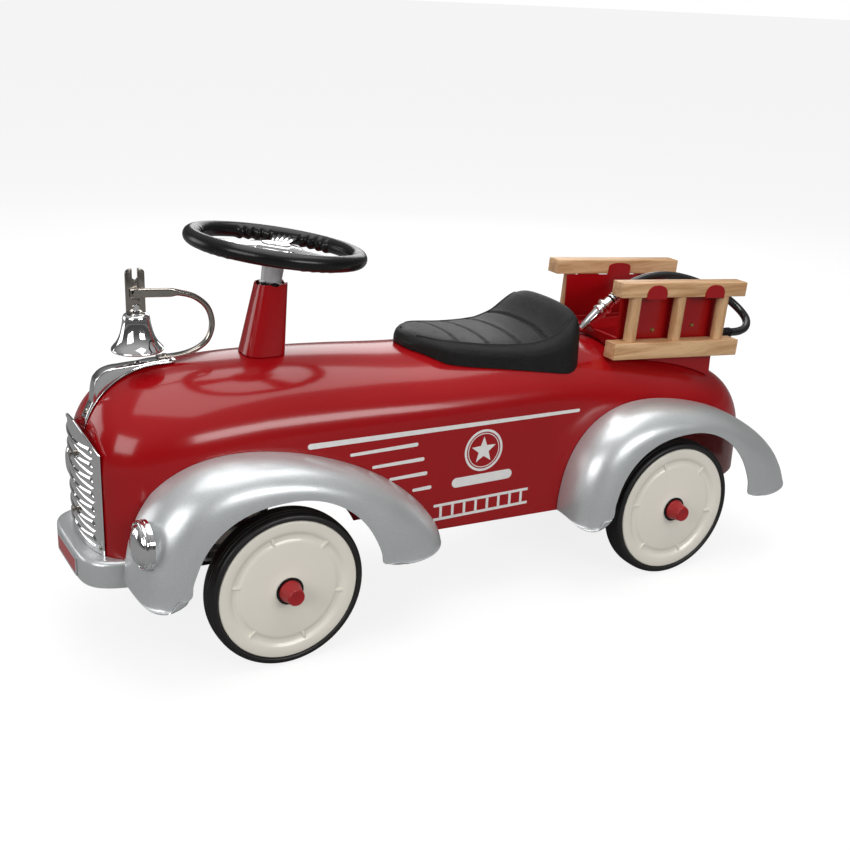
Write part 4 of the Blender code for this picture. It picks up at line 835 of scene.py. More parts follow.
def ladder_mark(side):
    """A small printed ladder: two rails with rungs between them."""
    low_y, high_y, low_z, high_z = LADDER_MARK
    half, clear, end = 0.0014, 0.0016, 0.008
    rails = [print_box(side, low_y, high_y, z - half, z + half) for z in (low_z, high_z)]
    return rails + [print_box(side, y - half, y + half, low_z + clear, high_z - clear)
                    for y in spread(low_y + end, high_y - end, 7)]


def label_bar(side):
    """A plain bar with round ends."""
    low_y, high_y, low_z, high_z = LABEL
    middle, half, end = (low_z + high_z) / 2, (high_z - low_z) / 2 - 0.002, 0.006
    return print_sheet(side, bar_outline((low_y + end, middle, half), (high_y - end, middle, half)))


def make_prints():
    """Stripe, side bars, star roundel, label bar and ladder mark on each side."""
    for side, word in SIDES:
        patches = [print_sheet(side, bar_outline(*STRIPE))]
        for start, end, z in BARS:
            patches.append(print_sheet(side, bar_outline((start, z, 0.0015), (end, z + 0.0002, 0.0019))))
        patches += ring_patches(side, ROUNDEL_RADIUS, 0.0024)
        patches += ring_patches(side, ROUNDEL_RADIUS - 0.0038, 0.0008)
        patches.append(print_sheet(side, star_outline(ROUNDEL_CENTRE, STAR_RADIUS)))
        patches.append(label_bar(side))
        patches += ladder_mark(side)
        keep(merged(f"side_print_{word}", patches), PRINT_WHITE, "chassis")


# Fenders and headlights

FENDER_SHEET = 0.0010
FENDER_OUTER_X = 0.1300
FENDER_POWER = 2.4
FENDER_FLANGE = 0.010
FENDER_PEAK_Y = -0.034
FENDER_RISE = 0.1162
FENDER_FRONT_REACH = 0.101
FENDER_FRONT_POWER = 2.4
FENDER_REAR_REACH = 0.202
FENDER_REAR_POWER = 1.68
FENDER_LIP_RADIUS = 0.092
FENDER_FOOT = math.radians(12)
FENDER_LOWER_EDGE = 0.081
REAR_FENDER_DROP = 0.009
REAR_FENDER_SHIFT = 0.010
FENDER_INNER_LEAST_X = 0.0745
CORNER_LIFT = (0.009, 0.004)
HEADLIGHT_RADIUS = 0.0215
HEADLIGHT_AT = (0.1055, 0.1375)
HEADLIGHT_DEPTH = 0.0155


def crest_at(polar, middle, shift, base):
    """(y, z) of a fender's crest in a direction from the middle of its lip, where 0 is level forwards."""
    low, high = 0.0, math.pi
    for _ in range(40):
        turn = (low + high) / 2
        reach, exponent = ((FENDER_FRONT_REACH, FENDER_FRONT_POWER) if turn < math.pi / 2
                           else (FENDER_REAR_REACH, FENDER_REAR_POWER))
        crest = Vector((FENDER_PEAK_Y + shift - reach * power(math.cos(turn), 2 / exponent),
                        base + FENDER_RISE * math.sin(turn) ** (2 / exponent)))
        out = crest - middle
        low, high = (turn, high) if math.atan2(out.y, -out.x) < polar else (low, turn)
    return crest


def lip_at(polar, middle):
    """(y, z) of a fender's lip in a direction from its middle."""
    exponent = FENDER_FRONT_POWER if polar < math.pi / 2 else 2.0
    return middle + FENDER_LIP_RADIUS * Vector((-power(math.cos(polar), 2 / exponent),
                                                math.sin(polar) ** (2 / exponent)))


def fender_outline(share, shift, drop):
    """(crest, lip) as (y, z) pairs at a share of the way from the front end to the rear end."""
    base = FENDER_LOWER_EDGE - drop
    middle = Vector((-0.002 + shift * 0.6, axle_z - 0.002 - drop * 0.3))
    first = math.atan2(base - middle.y, middle.x - (FENDER_PEAK_Y + shift - FENDER_FRONT_REACH))
    last = math.atan2(base - middle.y, middle.x - (FENDER_PEAK_Y + shift + FENDER_REAR_REACH))
    polar = first + (last - first) * share
    crest = crest_at(polar, middle, shift, base)
    if FENDER_FOOT < polar < math.pi - FENDER_FOOT:
        return crest, lip_at(polar, middle)
    if share < 0.5:
        way = (polar - first) / (FENDER_FOOT - first)
        start = lip_at(FENDER_FOOT, middle)
        end_y = middle.x - FENDER_LIP_RADIUS - 0.012
    else:
        way = (last - polar) / (last - math.pi + FENDER_FOOT)
        start = lip_at(math.pi - FENDER_FOOT, middle)
        end_y = middle.x + FENDER_LIP_RADIUS + 0.016
    inward = max(0.0, 1 - (1 - way) ** 2) ** 0.5
    up = 1 - max(0.0, 1 - way ** 2) ** 0.5
    return crest, Vector((end_y + (start.x - end_y) * inward, base + (start.y - base) * up))


def fender_inner_x(y):
    """How near the middle of the car a fender comes at a place along it."""
    return max(body_half_width(y) + gap * 2, FENDER_INNER_LEAST_X)


def make_fender(name, axle_y, shift, drop, side):
    """One fender: a shell from its inner flange over its crest and out to its lip."""
    round_steps = 24
    base = FENDER_LOWER_EDGE - drop
    ends = [0.0, 0.002, 0.005, 0.009, 0.014, 0.020, 0.028, 0.038]
    shares = ends + spread(0.05, 0.95, 90) + [1 - share for share in reversed(ends)]

    def rounded(at, hold, share):
        """The height of a point near an end, with the end's two corners rounded up."""
        lift = CORNER_LIFT[0] if share < 0.5 else CORNER_LIFT[1]
        return at.y + lift * abs(2 * hold - 1) ** 3 * max(0.0, 1 - (at.y - base) / 0.030)

    def build(bm):
        rows = []
        for share in shares:
            crest, lip = fender_outline(share, shift, drop)
            crest.x += axle_y
            lip.x += axle_y
            inner_x = fender_inner_x(crest.x)
            inward = (lip - crest).normalized()
            flange = crest + inward * min(FENDER_FLANGE, (lip - crest).length * 0.6)
            row = [Vector((max(fender_inner_x(flange.x), inner_x), flange.x, rounded(flange, 1.0, share)))]
            for k, angle in enumerate(spread(0, math.pi / 2, round_steps)):
                out = 0.0 if k == 0 else math.sin(angle) ** (2 / FENDER_POWER)
                hold = 0.0 if k == round_steps else math.cos(angle) ** (2 / FENDER_POWER)
                at = lip + (crest - lip) * hold
                x = inner_x + (FENDER_OUTER_X - inner_x) * out
                row.append(Vector((x, at.x, rounded(at, hold, share))))
            rows.append([Vector((point.x * side, point.y, point.z)) for point in row])
        skin(bm, rows, flip=side < 0)
    return thickened(mesh_from(name, build), FENDER_SHEET)


def front_fender_face(x, z):
    """Y of the front fender's outer surface at a place on its front."""
    best = None
    for i in range(200):
        crest, lip = fender_outline(0.5 * i / 200, 0.0, 0.0)
        inner_x = fender_inner_x(crest.x)
        out = min(1, max(0, (x - inner_x) / (FENDER_OUTER_X - inner_x)))
        at = lip + (crest - lip) * (1 - out ** FENDER_POWER) ** (1 / FENDER_POWER)
        if best is None or abs(at.y - z) < best[0]:
            best = (abs(at.y - z), at.x)
    return best[1]


def make_fenders():
    """Front and rear fender on each side, with the headlight set into the front one."""
    x, z = HEADLIGHT_AT
    lamp_y = front_fender_face(x, z) - 0.0005
    for side, word in SIDES:
        matrix = Matrix.Translation((side * x, lamp_y, z)) @ Matrix.Rotation(math.radians(90), 4, "X")
        fender = make_fender(f"fender_front_{word}", 0.0, 0.0, 0.0, side)
        reach = HEADLIGHT_RADIUS + 0.0004
        pocket = turned("pocket", [(0.0, 0.03), (reach, 0.03), (reach, -0.0008), (0.0, -0.0008)], 64, matrix)
        keep(cut(fender, pocket), SILVER_PAINT, "chassis", (f"front_fender_{word}",),
             sharp=50)
        keep(make_fender(f"fender_rear_{word}", wheelbase, REAR_FENDER_SHIFT, REAR_FENDER_DROP, side),
             SILVER_PAINT, "chassis", (f"rear_fender_{word}",), sharp=50)
        make_headlight(word, matrix)


def make_headlight(word, matrix):
    """Chrome bowl with a rolled bezel and a deep domed face, with an upright ridge down its middle."""
    radius, depth = HEADLIGHT_RADIUS, HEADLIGHT_DEPTH
    middle, half, low = radius * 0.93, radius * 0.07, 0.0062
    bezel = [(middle - half * math.cos(a), low + 0.0022 * math.sin(a)) for a in spread(0, math.pi, 16)]
    profile = [(middle - half, low - 0.0010)] + bezel
    profile += [(radius, low - 0.0010), (radius * 0.98, low - 0.0016), (radius * 0.98, low - 0.0030),
                (radius, low - 0.0034), (radius, 0.0), (0.0, 0.0), (0.0, low - 0.0010), profile[0]]
    keep(turned(f"headlight_bowl_{word}", profile, 96, matrix), CHROME, "chassis", (f"headlight_{word}",))
    face = radius * 0.865
    rings = []
    for angle in spread(0, math.pi / 2, 22):
        ring_radius = max(face * math.cos(angle), 0.00005)
        ring = []
        for turn in spread(0, 2 * math.pi, 96)[:-1]:
            x, y = ring_radius * math.cos(turn), ring_radius * math.sin(turn)
            ridge = 0.0010 * max(0.0, 1 - abs(x) / 0.0024)
            height = low - 0.0006 + (depth - low - 0.0006 + ridge) * math.sin(angle) ** 0.9
            ring.append(matrix @ Vector((x, y, height)))
        rings.append(ring)
    keep(loft(f"headlight_face_{word}", rings), CHROME, "chassis", sharp=60)


# Bumper and its plate

BUMPER_BOTTOM = 0.0819
BUMPER_TOP = 0.1062
BUMPER_HALF_WIDTH = 0.0735
BUMPER_END_Y = -0.1280
BUMPER_SHEET = 0.0015
BUMPER_REACH = 0.1648
BUMPER_POWER = 5.5
PLATE_HALF_WIDTH = 0.0315


def bumper_face_y(x):
    """Y of the bumper's front face at a place across it."""
    return -BUMPER_REACH * (1 - (abs(x) / BUMPER_HALF_WIDTH) ** BUMPER_POWER) ** (1 / BUMPER_POWER)


def make_bumper():
    """Bumper bent round the nose, with a rolled top edge that turns in to the body."""
    last = math.acos((abs(BUMPER_END_Y) / BUMPER_REACH) ** (BUMPER_POWER / 2))
    end_x = body_half_width(BUMPER_END_Y) + 0.001
    roll = 0.0050

    def build(bm):
        rows = []
        for share in spread(-1, 1, 96):
            outer_x = BUMPER_HALF_WIDTH * power(math.sin(last * share), 2 / BUMPER_POWER)
            outer = Vector((outer_x, bumper_face_y(outer_x)))
            inner_x = end_x * power(share, 0.8)
            inner = Vector((inner_x, nose_front(inner_x) - 0.0012))
            inward = (inner - outer).normalized()
            row = [Vector((outer.x, outer.y, z)) for z in spread(BUMPER_BOTTOM, BUMPER_TOP - roll, 3)[:-1]]
            for angle in spread(0, math.pi / 2, 8):
                at = outer + inward * roll * (1 - math.cos(angle))
                row.append(Vector((at.x, at.y, BUMPER_TOP - roll + roll * math.sin(angle))))
            for way in spread(0, 1, 5)[1:]:
                at = (outer + inward * roll) * (1 - way) + inner * way
                row.append(Vector((at.x, at.y, BUMPER_TOP)))
            rows.append(row)
        skin(bm, rows, flip=True)
    keep(thickened(mesh_from("front_bumper", build), BUMPER_SHEET), SILVER_PAINT, "chassis", ("bumper",),
         sharp=50)


def make_bumper_plate():
    """Small red plate with a raised border, bowed with the bumper."""
    low, high = BUMPER_BOTTOM + 0.0012, BUMPER_TOP - 0.0060
    border = 0.0018

    def strip(name, x0, x1, z0, z1, depth):
        rings = []
        for x in spread(x0, x1, 24):
            back = bumper_face_y(x) - gap
            face = back - depth
            rings.append([Vector((x, back, z0)), Vector((x, back, z1)),
                          Vector((x, face, z1 - 0.0002)), Vector((x, face, z0 + 0.0002))])
        return loft(name, rings)
    inner = PLATE_HALF_WIDTH - border
    keep(strip("name_plate", -inner + 0.0001, inner - 0.0001, low + border, high - border, 0.0006), PLATE_RED,
         "chassis", ("bumper_plate",))
    edges = [strip("edge", -PLATE_HALF_WIDTH, PLATE_HALF_WIDTH, low, low + border, 0.0009),
             strip("edge", -PLATE_HALF_WIDTH, PLATE_HALF_WIDTH, high - border, high, 0.0009),
             strip("edge", -PLATE_HALF_WIDTH, -inner, low + border, high - border, 0.0009),
             strip("edge", inner, PLATE_HALF_WIDTH, low + border, high - border, 0.0009)]
    keep(merged("plate_border", edges), SILVER_PAINT, "chassis")


# Grille

GRILLE_TOP = 0.220
GRILLE_HALF_WIDTH = 0.0500
GRILLE_SHEET = 0.0012
LOUVRE_COUNT = 7
LOUVRE_PITCH = 0.0136
LOUVRE_LOWEST = 0.1165
LOUVRE_REACH = 0.0405


def nose_front(x):
    """Y of the body's nose at a place across it."""
    return NOSE_Y * (1 - (abs(x) / BODY_HALF_WIDTH) ** NOSE_POWER) ** (1 / NOSE_POWER)


def grille_y(x):
    """Y of the grille sheet's back face: a plate bowed across, resting on the nose at its edges."""
    edge = nose_front(GRILLE_HALF_WIDTH) - gap - 0.0005
    middle = NOSE_Y - 0.0026
    return middle + (edge - middle) * (abs(x) / GRILLE_HALF_WIDTH) ** 2.5


def grille_top(x):
    """Height of the grille's upper edge at a place across it."""
    return GRILLE_TOP - 0.020 * (abs(x) / GRILLE_HALF_WIDTH) ** 2.2


def louvre_relief(x, z):
    """Relief of the louvres: leaves, round at both outer ends, lipped above and sunk below their slits."""
    step = (z - LOUVRE_LOWEST) / LOUVRE_PITCH + 0.5
    if step < 0 or step > LOUVRE_COUNT or abs(x) > LOUVRE_REACH:
        return 0.0
    way = step - math.floor(step) - 0.5
    end = 1 - max(0.0, abs(x) - LOUVRE_REACH * 0.86) / (LOUVRE_REACH * 0.14)
    half = 0.44 * (0.45 + 0.55 * abs(x) / LOUVRE_REACH) * max(0.0, 1 - (1 - end) ** 2) ** 0.5
    if abs(way) > half:
        return 0.0
    across = way / max(half, 0.02)
    lip = 0.0022 * (1 - across ** 2) * (0.55 + 0.45 * across)
    return lip - 0.0016 * max(0.0, 1 - ((across + 0.62) / 0.34) ** 2)


def make_grille():
    """Grille sheet with its louvres and beaded edge, and its two lower corner screws."""
    bottom = BUMPER_TOP + gap
    across, up = 110, 230

    def build(bm):
        rows = []
        for x in spread(-GRILLE_HALF_WIDTH, GRILLE_HALF_WIDTH, across):
            top = grille_top(x)
            row = []
            for z in spread(bottom, top, up):
                edge = min(GRILLE_HALF_WIDTH - abs(x), top - z)
                bead = 0.0010 * max(0.0, 1 - ((edge - 0.0012) / 0.0012) ** 2)
                row.append(Vector((x, grille_y(x) - GRILLE_SHEET - louvre_relief(x, z) - bead, z)))
            rows.append(row)
        skin(bm, rows, flip=True)
    grille = thickened(mesh_from("grille_sheet", build), GRILLE_SHEET * 0.8)
    keep(grille, CHROME, "chassis", ("grille",), sharp=70)
    screws = []
    for side in (-1, 1):
        x, z = side * (GRILLE_HALF_WIDTH - 0.0042), bottom + 0.0060
        face = grille_y(x) - GRILLE_SHEET
        screws.append(rod("corner_screw", (x, face - 0.0013, z), (x, face + 0.0002, z), 0.0017, 0.0022,
                          sides=32))
    keep(merged("grille_corner_screws", screws), NICKEL, "chassis", sharp=30)


# Steering

RIM_RADIUS = 0.0765
RIM_TUBE = 0.0073
BOSS_RADIUS = 0.0125
BOSS_LENGTH = 0.0300
COVER_TOP_Z = 0.3250
COVER_BASE_RADIUS = 0.0201
COVER_TOP_RADIUS = 0.0142


def grip_bump(angle):
    """Height of the finger grips inside the rim: four to each side of each spoke."""
    from_spoke = (math.degrees(angle) + 90 + 60) % 120 - 60
    place = (abs(from_spoke) - 10) / 28
    if not 0 <= place <= 1:
        return 0.0
    return 0.0030 * math.sin(4 * math.pi * place) ** 2


def make_steering():
    """Rim with finger grips inside it, its spokes and its boss."""
    lean = Matrix.Translation((0, STEERING_Y, STEERING_Z)) @ Matrix.Rotation(-COLUMN_LEAN, 4, "X")

    def build(bm):
        rows = []
        for i in range(288):
            turn = 2 * math.pi * i / 288
            row = []
            for k in range(28):
                angle = 2 * math.pi * k / 28
                inside = max(0.0, -math.cos(angle - math.radians(25))) ** 2
                reach = RIM_TUBE + grip_bump(turn) * inside
                radius = RIM_RADIUS + reach * math.cos(angle)
                point = (radius * math.cos(turn), radius * math.sin(turn), reach * math.sin(angle))
                row.append(lean @ Vector(point))
            rows.append(row)
        skin(bm, rows + [rows[0]], closed=True)
        bmesh.ops.remove_doubles(bm, verts=bm.verts, dist=0.000001)
        bmesh.ops.recalc_face_normals(bm, faces=bm.faces)
    keep(mesh_from("steering_wheel_rim", build), BLACK_PLASTIC, "steering", ("steering_rim",))
    make_spokes(lean)
    make_boss()


def make_spokes(lean):
    """Chrome centre: a stepped hub with a plain domed cap and three ribbed spokes that widen to the rim."""
    hub = turned("hub", [(0.0, 0.0040), (0.0080, 0.0036), (0.0130, 0.0026), (0.0136, 0.0016),
                         (0.0220, 0.0010), (0.0255, -0.0004), (0.0260, -0.0020), (0.0, -0.0020)], 96)
    pieces = [hub]
    reach = RIM_RADIUS - RIM_TUBE - 0.0008
    for i in range(3):
        rows = []
        for way in spread(0, 1, 24):
            y = 0.018 + (reach - 0.018) * way
            half = 0.0085 + 0.0050 * way ** 1.5
            edge_y = y - 0.0016 * way * way
            top = []
            for k, share in enumerate(spread(-1, 1, 40)):
                ridge = 0.0007 * abs(math.cos(share * math.pi * 2.5)) ** 3
                bow = 0.0013 * (1 - share * share)
                bend = (edge_y - y) * share * share
                top.append(Vector((half * share, y + bend, 0.0002 + bow + ridge)))
            low = [Vector((half * share, y + (edge_y - y) * share * share, -0.0019))
                   for share in spread(1, -1, 6)]
            rows.append(top + low)
        spoke = loft(f"spoke_{i}", rows)
        spoke.data.transform(Matrix.Rotation(math.radians(120 * i + 180), 4, "Z"))
        pieces.append(spoke)
    made = merged("steering_centre", pieces)
    made.data.transform(lean)
    keep(made, CHROME, "steering", ("steering_spokes",), sharp=45)


def make_boss():
    """Grey collar under the spokes, with its clamping bolt."""
    top = Vector((0, STEERING_Y, STEERING_Z)) - COLUMN_AXIS * 0.0023
    turn = Matrix.Translation(top) @ Matrix.Rotation(-COLUMN_LEAN, 4, "X")
    profile = [(0.0, 0.0), (BOSS_RADIUS - 0.0006, 0.0), (BOSS_RADIUS, -0.0006), (BOSS_RADIUS, -0.0104),
               (BOSS_RADIUS - 0.0006, -0.0110), (BOSS_RADIUS - 0.0022, -0.0114),
               (BOSS_RADIUS - 0.0024, -0.0122),
               (BOSS_RADIUS * 0.80, -0.0200), (BOSS_RADIUS * 0.76, -BOSS_LENGTH), (0.0, -BOSS_LENGTH)]
    keep(turned("steering_collar", profile, 72, turn), GREY_PLASTIC, "steering", ("steering_boss",))
    at = turn @ Vector((0, 0, -0.0056))
    out = Vector((0.6, -0.8, 0)).normalized()
    bolt = join(rod("collar_bolt", at + out * 0.0105, at + out * 0.0132, 0.0017, sides=32),
                rod("bolt_point", at + out * 0.0130, at + out * 0.0138, 0.0010, 0.0007, sides=24))
    keep(bolt, NICKEL, "steering")


def make_column_cover():
    """Tapered sheet pylon with rounded corners, cut to sit on the hood's crown, with a notched top edge."""
    sides = 96
    exponent = 3.2
    top = column_point(COVER_TOP_Z)
    low = column_point(body_top(0, column_point(0.26).y))

    def ring(share, inset):
        centre = low.lerp(top, share)
        radius = COVER_BASE_RADIUS + (COVER_TOP_RADIUS - COVER_BASE_RADIUS) * share - inset
        points = ring_of(centre, (1, 0, 0), (0, 1, 0), radius * 0.92, radius, sides, exponent)
        for i, point in enumerate(points):
            if share == 0:
                point.z = body_top(point.x, point.y) + gap * 3
            if share == 1:
                corner = abs(math.sin(4 * math.pi * i / sides))
                point.z -= 0.0022 * max(0.0, 1 - corner * 2.2)
        return points

    def build(bm):
        outer = skin(bm, [ring(share, 0) for share in spread(0, 1, 8)], closed=True)
        inner = skin(bm, [ring(share, SHEET) for share in spread(0, 1, 8)], closed=True)
        for level in (0, -1):
            for i in range(sides):
                j = (i + 1) % sides
                bm.faces.new((outer[level][i], outer[level][j], inner[level][j], inner[level][i]))
        bmesh.ops.recalc_face_normals(bm, faces=bm.faces)
    keep(mesh_from("column_pylon", build), RED_PAINT, "chassis", ("column_cover",), sharp=35)


# Bell, its arm and the hood bracket

BELL_Y = joint_at["bell_swing"][1] - car_y
PIVOT_Z = joint_at["bell_swing"][2]
BELL_TOP_Z = 0.3075
BELL_RIM_RADIUS = 0.0228
BELL_WALL = 0.0016
STRAP_WIDTH = 0.0170
STRAP_TOP_Z = 0.3470
BRACKET_RISE = ((-0.1470, 0.0022), (-0.1408, 0.0024), (-0.1368, 0.0034), (-0.1352, 0.0125), (-0.1328, 0.0178),
                (-0.1277, 0.0172), (-0.1192, 0.0130), (-0.1090, 0.0075), (-0.0957, 0.0032), (-0.0880, 0.0024),
                (-0.0600, 0.0024))
BRACKET_HALF_WIDTH = 0.0080
BRACKET_CLEAR = 0.0014
BRACKET_SCREWS = ((-0.1416, 0.0010), (-0.0695, 0.0030))
SOLE_SHEET = 0.0009
SOLE_FRONT_Y = -0.1470
SOLE_REAR_Y = -0.0600
BRIDGE_SHEET = 0.0008
BRIDGE_FRONT_Y = -0.1440
BRIDGE_REAR_Y = -0.0640
DIMPLE_Y = -0.0937
ARM_FOOT_Y = -0.0700
ARM_PATH = ((-0.0985, 0.3260), (-0.0900, 0.3257), (-0.0640, 0.3240), (-0.0545, 0.3228), (-0.0400, 0.3176),
            (-0.0285, 0.3070), (-0.0243, 0.2920), (-0.0282, 0.2785), (-0.0365, 0.2712), (-0.0475, 0.2672),
            (-0.0600, 0.2660), (-0.0760, 0.2660))


def hood_line(y):
    """Height of the hood along its middle, nose rounding included."""
    if y >= SPINE_FRONT_Y:
        return between(RIDGE, y)
    share = min(1, (SPINE_FRONT_Y - y) / (SPINE_FRONT_Y - NOSE_Y))
    low = between(SHOULDER, NOSE_Y)
    return low + (between(RIDGE, SPINE_FRONT_Y) - low) * (1 - share ** CROWN_POWER) ** (1 / CROWN_POWER)


def sole_low(y):
    """Height of the bracket's underside, just clear of the hood."""
    return hood_line(y) + BRACKET_CLEAR


def bracket_run(name, front_y, rear_y, low_of, high_of, half_of, count=70):
    """A strip along the hood with rounded upper edges; its heights and half width are functions of y."""
    rings = []
    for y in spread(front_y, rear_y, count):
        low, high, wide = low_of(y), high_of(y), half_of(y)
        edge = min(0.0012, (high - low) * 0.45)
        ring = [Vector((-wide, y, low)), Vector((wide, y, low)), Vector((wide, y, high - edge))]
        ring += [Vector((wide - edge * (1 - math.cos(a)), y, high - edge + edge * math.sin(a)))
                 for a in spread(0, math.pi / 2, 4)[1:]]
        ring += [Vector((-wide + edge * (1 - math.sin(a)), y, high - edge + edge * math.cos(a)))
                 for a in spread(0, math.pi / 2, 4)]
        rings.append(ring)
    return loft(name, rings)


def bracket_screws():
    """Slotted screws through both ends of the bracket, square to the hood."""
    screws = []
    for y, rise in BRACKET_SCREWS:
        at = Vector((0, y, sole_low(y) + between(BRACKET_RISE, y) + rise))
        slope = Vector((0, 0.001, hood_line(y + 0.0005) - hood_line(y - 0.0005))).normalized()
        up = Vector((1, 0, 0)).cross(slope)
        head = rod("head", at - up * 0.0010, at + up * 0.0010, 0.0034, 0.0026, sides=32)
        slot = box("slot", (-0.0036, -0.0004, 0.0003), (0.0036, 0.0004, 0.0020))
        slot.data.transform(Matrix.Translation(at) @ up.to_track_quat("Z", "X").to_matrix().to_4x4())
        screws.append(cut(head, slot))
    return screws


def make_bracket():
    """Chrome hood bracket: a thin sole that lies on the hood, and a folded bridge standing on it."""
    def sole_high(y):
        return sole_low(y) + SOLE_SHEET

    def sole_half(y):
        return BRACKET_HALF_WIDTH * min(1.0, max(0.12, 1 - max(0.0, (y + 0.066) / 0.0066) ** 2) ** 0.5)

    def bridge_top(y):
        thinned = min(1.0, (BRIDGE_REAR_Y - y) / 0.004 + 0.3)
        return sole_low(y) + between(BRACKET_RISE, y) + BRIDGE_SHEET * thinned

    def bridge_half(y):
        return BRACKET_HALF_WIDTH * 0.84 * min(1.0, 0.75 + max(0.0, BRIDGE_REAR_Y - y) / 0.012)
    sole = bracket_run("sole", SOLE_FRONT_Y, SOLE_REAR_Y, sole_low, sole_high, sole_half)
    bridge = bracket_run("bridge", BRIDGE_FRONT_Y, BRIDGE_REAR_Y, lambda y: sole_low(y) + SOLE_SHEET * 0.5,
                         bridge_top, bridge_half, 110)
    dimple_z = sole_low(DIMPLE_Y) + between(BRACKET_RISE, DIMPLE_Y) + BRIDGE_SHEET
    dimple = rod("dimple", (0, DIMPLE_Y, dimple_z - 0.0012), (0, DIMPLE_Y, dimple_z + 0.0004), 0.0022, 0.0034)
    keep(cut(join(sole, bridge), dimple), CHROME, "chassis", ("hood_ornament",), sharp=30)
    keep(merged("bracket_screws", bracket_screws()), NICKEL, "chassis", sharp=30)
    return sole_low(ARM_FOOT_Y) + BRACKET_RISE[-1][1] + BRIDGE_SHEET


def make_bell_arm(foot_z):
    """Round rod bent over the hood, flat where the bell's strap hangs and where it is screwed down."""
    flats = ((0.0012, 0.0040), (0.0012, 0.0040), (0.0013, 0.0040), (0.0026, 0.0028)) + ((0.0027, 0.0027),) * 5
    flats += ((0.0035, 0.0020), (0.0046, 0.0010), (0.0046, 0.0010))
    offsets = (0.0026, 0.0026, 0.0026, 0.0012) + (0.0,) * 8
    path = [Vector((off, y, z)) for (y, z), off in zip(ARM_PATH, offsets)]
    lift = foot_z + gap + flats[-1][1] - path[-1].z
    for i in (-1, -2):
        path[i].z += lift
    fine, _ = smooth_route(path, 90)
    lengths = [0.0]
    for a, b in zip(path, path[1:]):
        lengths.append(lengths[-1] + (b - a).length)
    halves = [tuple(zip(lengths, [flat[axis] for flat in flats])) for axis in (0, 1)]
    rings = []
    for i, centre in enumerate(fine):
        along = (fine[min(i + 1, len(fine) - 1)] - fine[max(i - 1, 0)]).normalized()
        side = Vector((1, 0, 0))
        normal = side.cross(along).normalized()
        at = lengths[-1] * i / (len(fine) - 1)
        flatness = abs(between(halves[0], at) - between(halves[1], at)) / 0.003
        rings.append(ring_of(centre, side, normal, between(halves[0], at), between(halves[1], at), 28,
                             2.0 + 2.5 * min(1, flatness)))
    keep(loft("bell_rod", rings), NICKEL, "chassis", ("bell_arm",), sharp=50)


def make_bell():
    """Bell shell: flared, with a rolled lip and an open underside."""
    turn = Matrix.Translation((0, BELL_Y, BELL_TOP_Z))
    shape = ((0.0, 0.0085), (0.0009, 0.0106), (0.0028, 0.0116), (0.0075, 0.0123), (0.0130, 0.0134),
             (0.0185, 0.0149), (0.0230, 0.0168), (0.0262, 0.0188), (0.0290, 0.0212), (0.0308, 0.0226))
    outer = [(0.0028, 0.0)] + [(between(shape, d), d) for d in spread(0.0, 0.0308, 40)]
    lip = [(BELL_RIM_RADIUS - 0.0005 + 0.0005 * math.sin(a), 0.0322 - 0.0009 * math.cos(a))
           for a in spread(0, math.pi, 8)]
    inner = [(between(shape, d) - BELL_WALL, d) for d in spread(0.0304, 0.0025, 24)]
    profile = outer + lip + inner + [(0.0028, 0.0020), outer[0]]
    keep(turned("bell_shell", [(r, -d) for r, d in profile], 96, turn), CHROME, "bell", ("bell",),
         sharp=35)


def make_strap():
    """The bell's hanger: a notched plate with round corners, its rivet and the nut on top of the bell."""
    half, low_z = STRAP_WIDTH / 2, BELL_TOP_Z + gap
    corner, notch = 0.0042, 0.0025
    corner_z, notch_z = STRAP_TOP_Z - corner, STRAP_TOP_Z - 0.0070
    outline = [(-half, low_z), (half, low_z)]
    outline += arc((half - corner, corner_z), corner, 0, math.pi / 2, 10)
    outline += [(notch, STRAP_TOP_Z)] + arc((0, notch_z), notch, 0, -math.pi, 14) + [(-notch, STRAP_TOP_Z)]
    outline += arc((corner - half, corner_z), corner, math.pi / 2, math.pi, 10)
    face, head = 0.0010, 0.0028
    strap = plate("strap", outline, -face, face)
    strap = cut(strap, rod("bore", (-0.02, 0, PIVOT_Z), (0.02, 0, PIVOT_Z), 0.0028))
    strap.data.transform(Matrix.Translation((0, BELL_Y, 0)))
    strap.name = "bell_hanger"
    keep(bevelled(strap, 0.0002, 2), NICKEL, "bell", ("bell_strap",), sharp=30)
    rivet_z = 0.3130
    fixings = [rod("rivet", (face, BELL_Y, rivet_z), (head, BELL_Y, rivet_z), 0.0034, 0.0024, sides=32),
               rod("rivet", (-head, BELL_Y, rivet_z), (-face, BELL_Y, rivet_z), 0.0024, 0.0034, sides=32),
               rod("top_nut", (0, BELL_Y, BELL_TOP_Z + 0.0001), (0, BELL_Y, BELL_TOP_Z + 0.0022), 0.0040,
                   0.0036, sides=6)]
    keep(merged("strap_rivets", fixings), CHROME, "bell", sharp=30)


# Wheels

TYRE_RADIUS = 0.074
TYRE_WIDTH = 0.025
DISC_RADIUS = 0.0663
WHEEL_MIDDLE_X = 0.108
CAP_LENGTH = 0.0150
CAP_BASE_RADIUS = 0.0106
CAP_END_RADIUS = 0.0078
DISC_FACE = TYRE_WIDTH / 2 - 0.0004
DISC_RIBS = 6


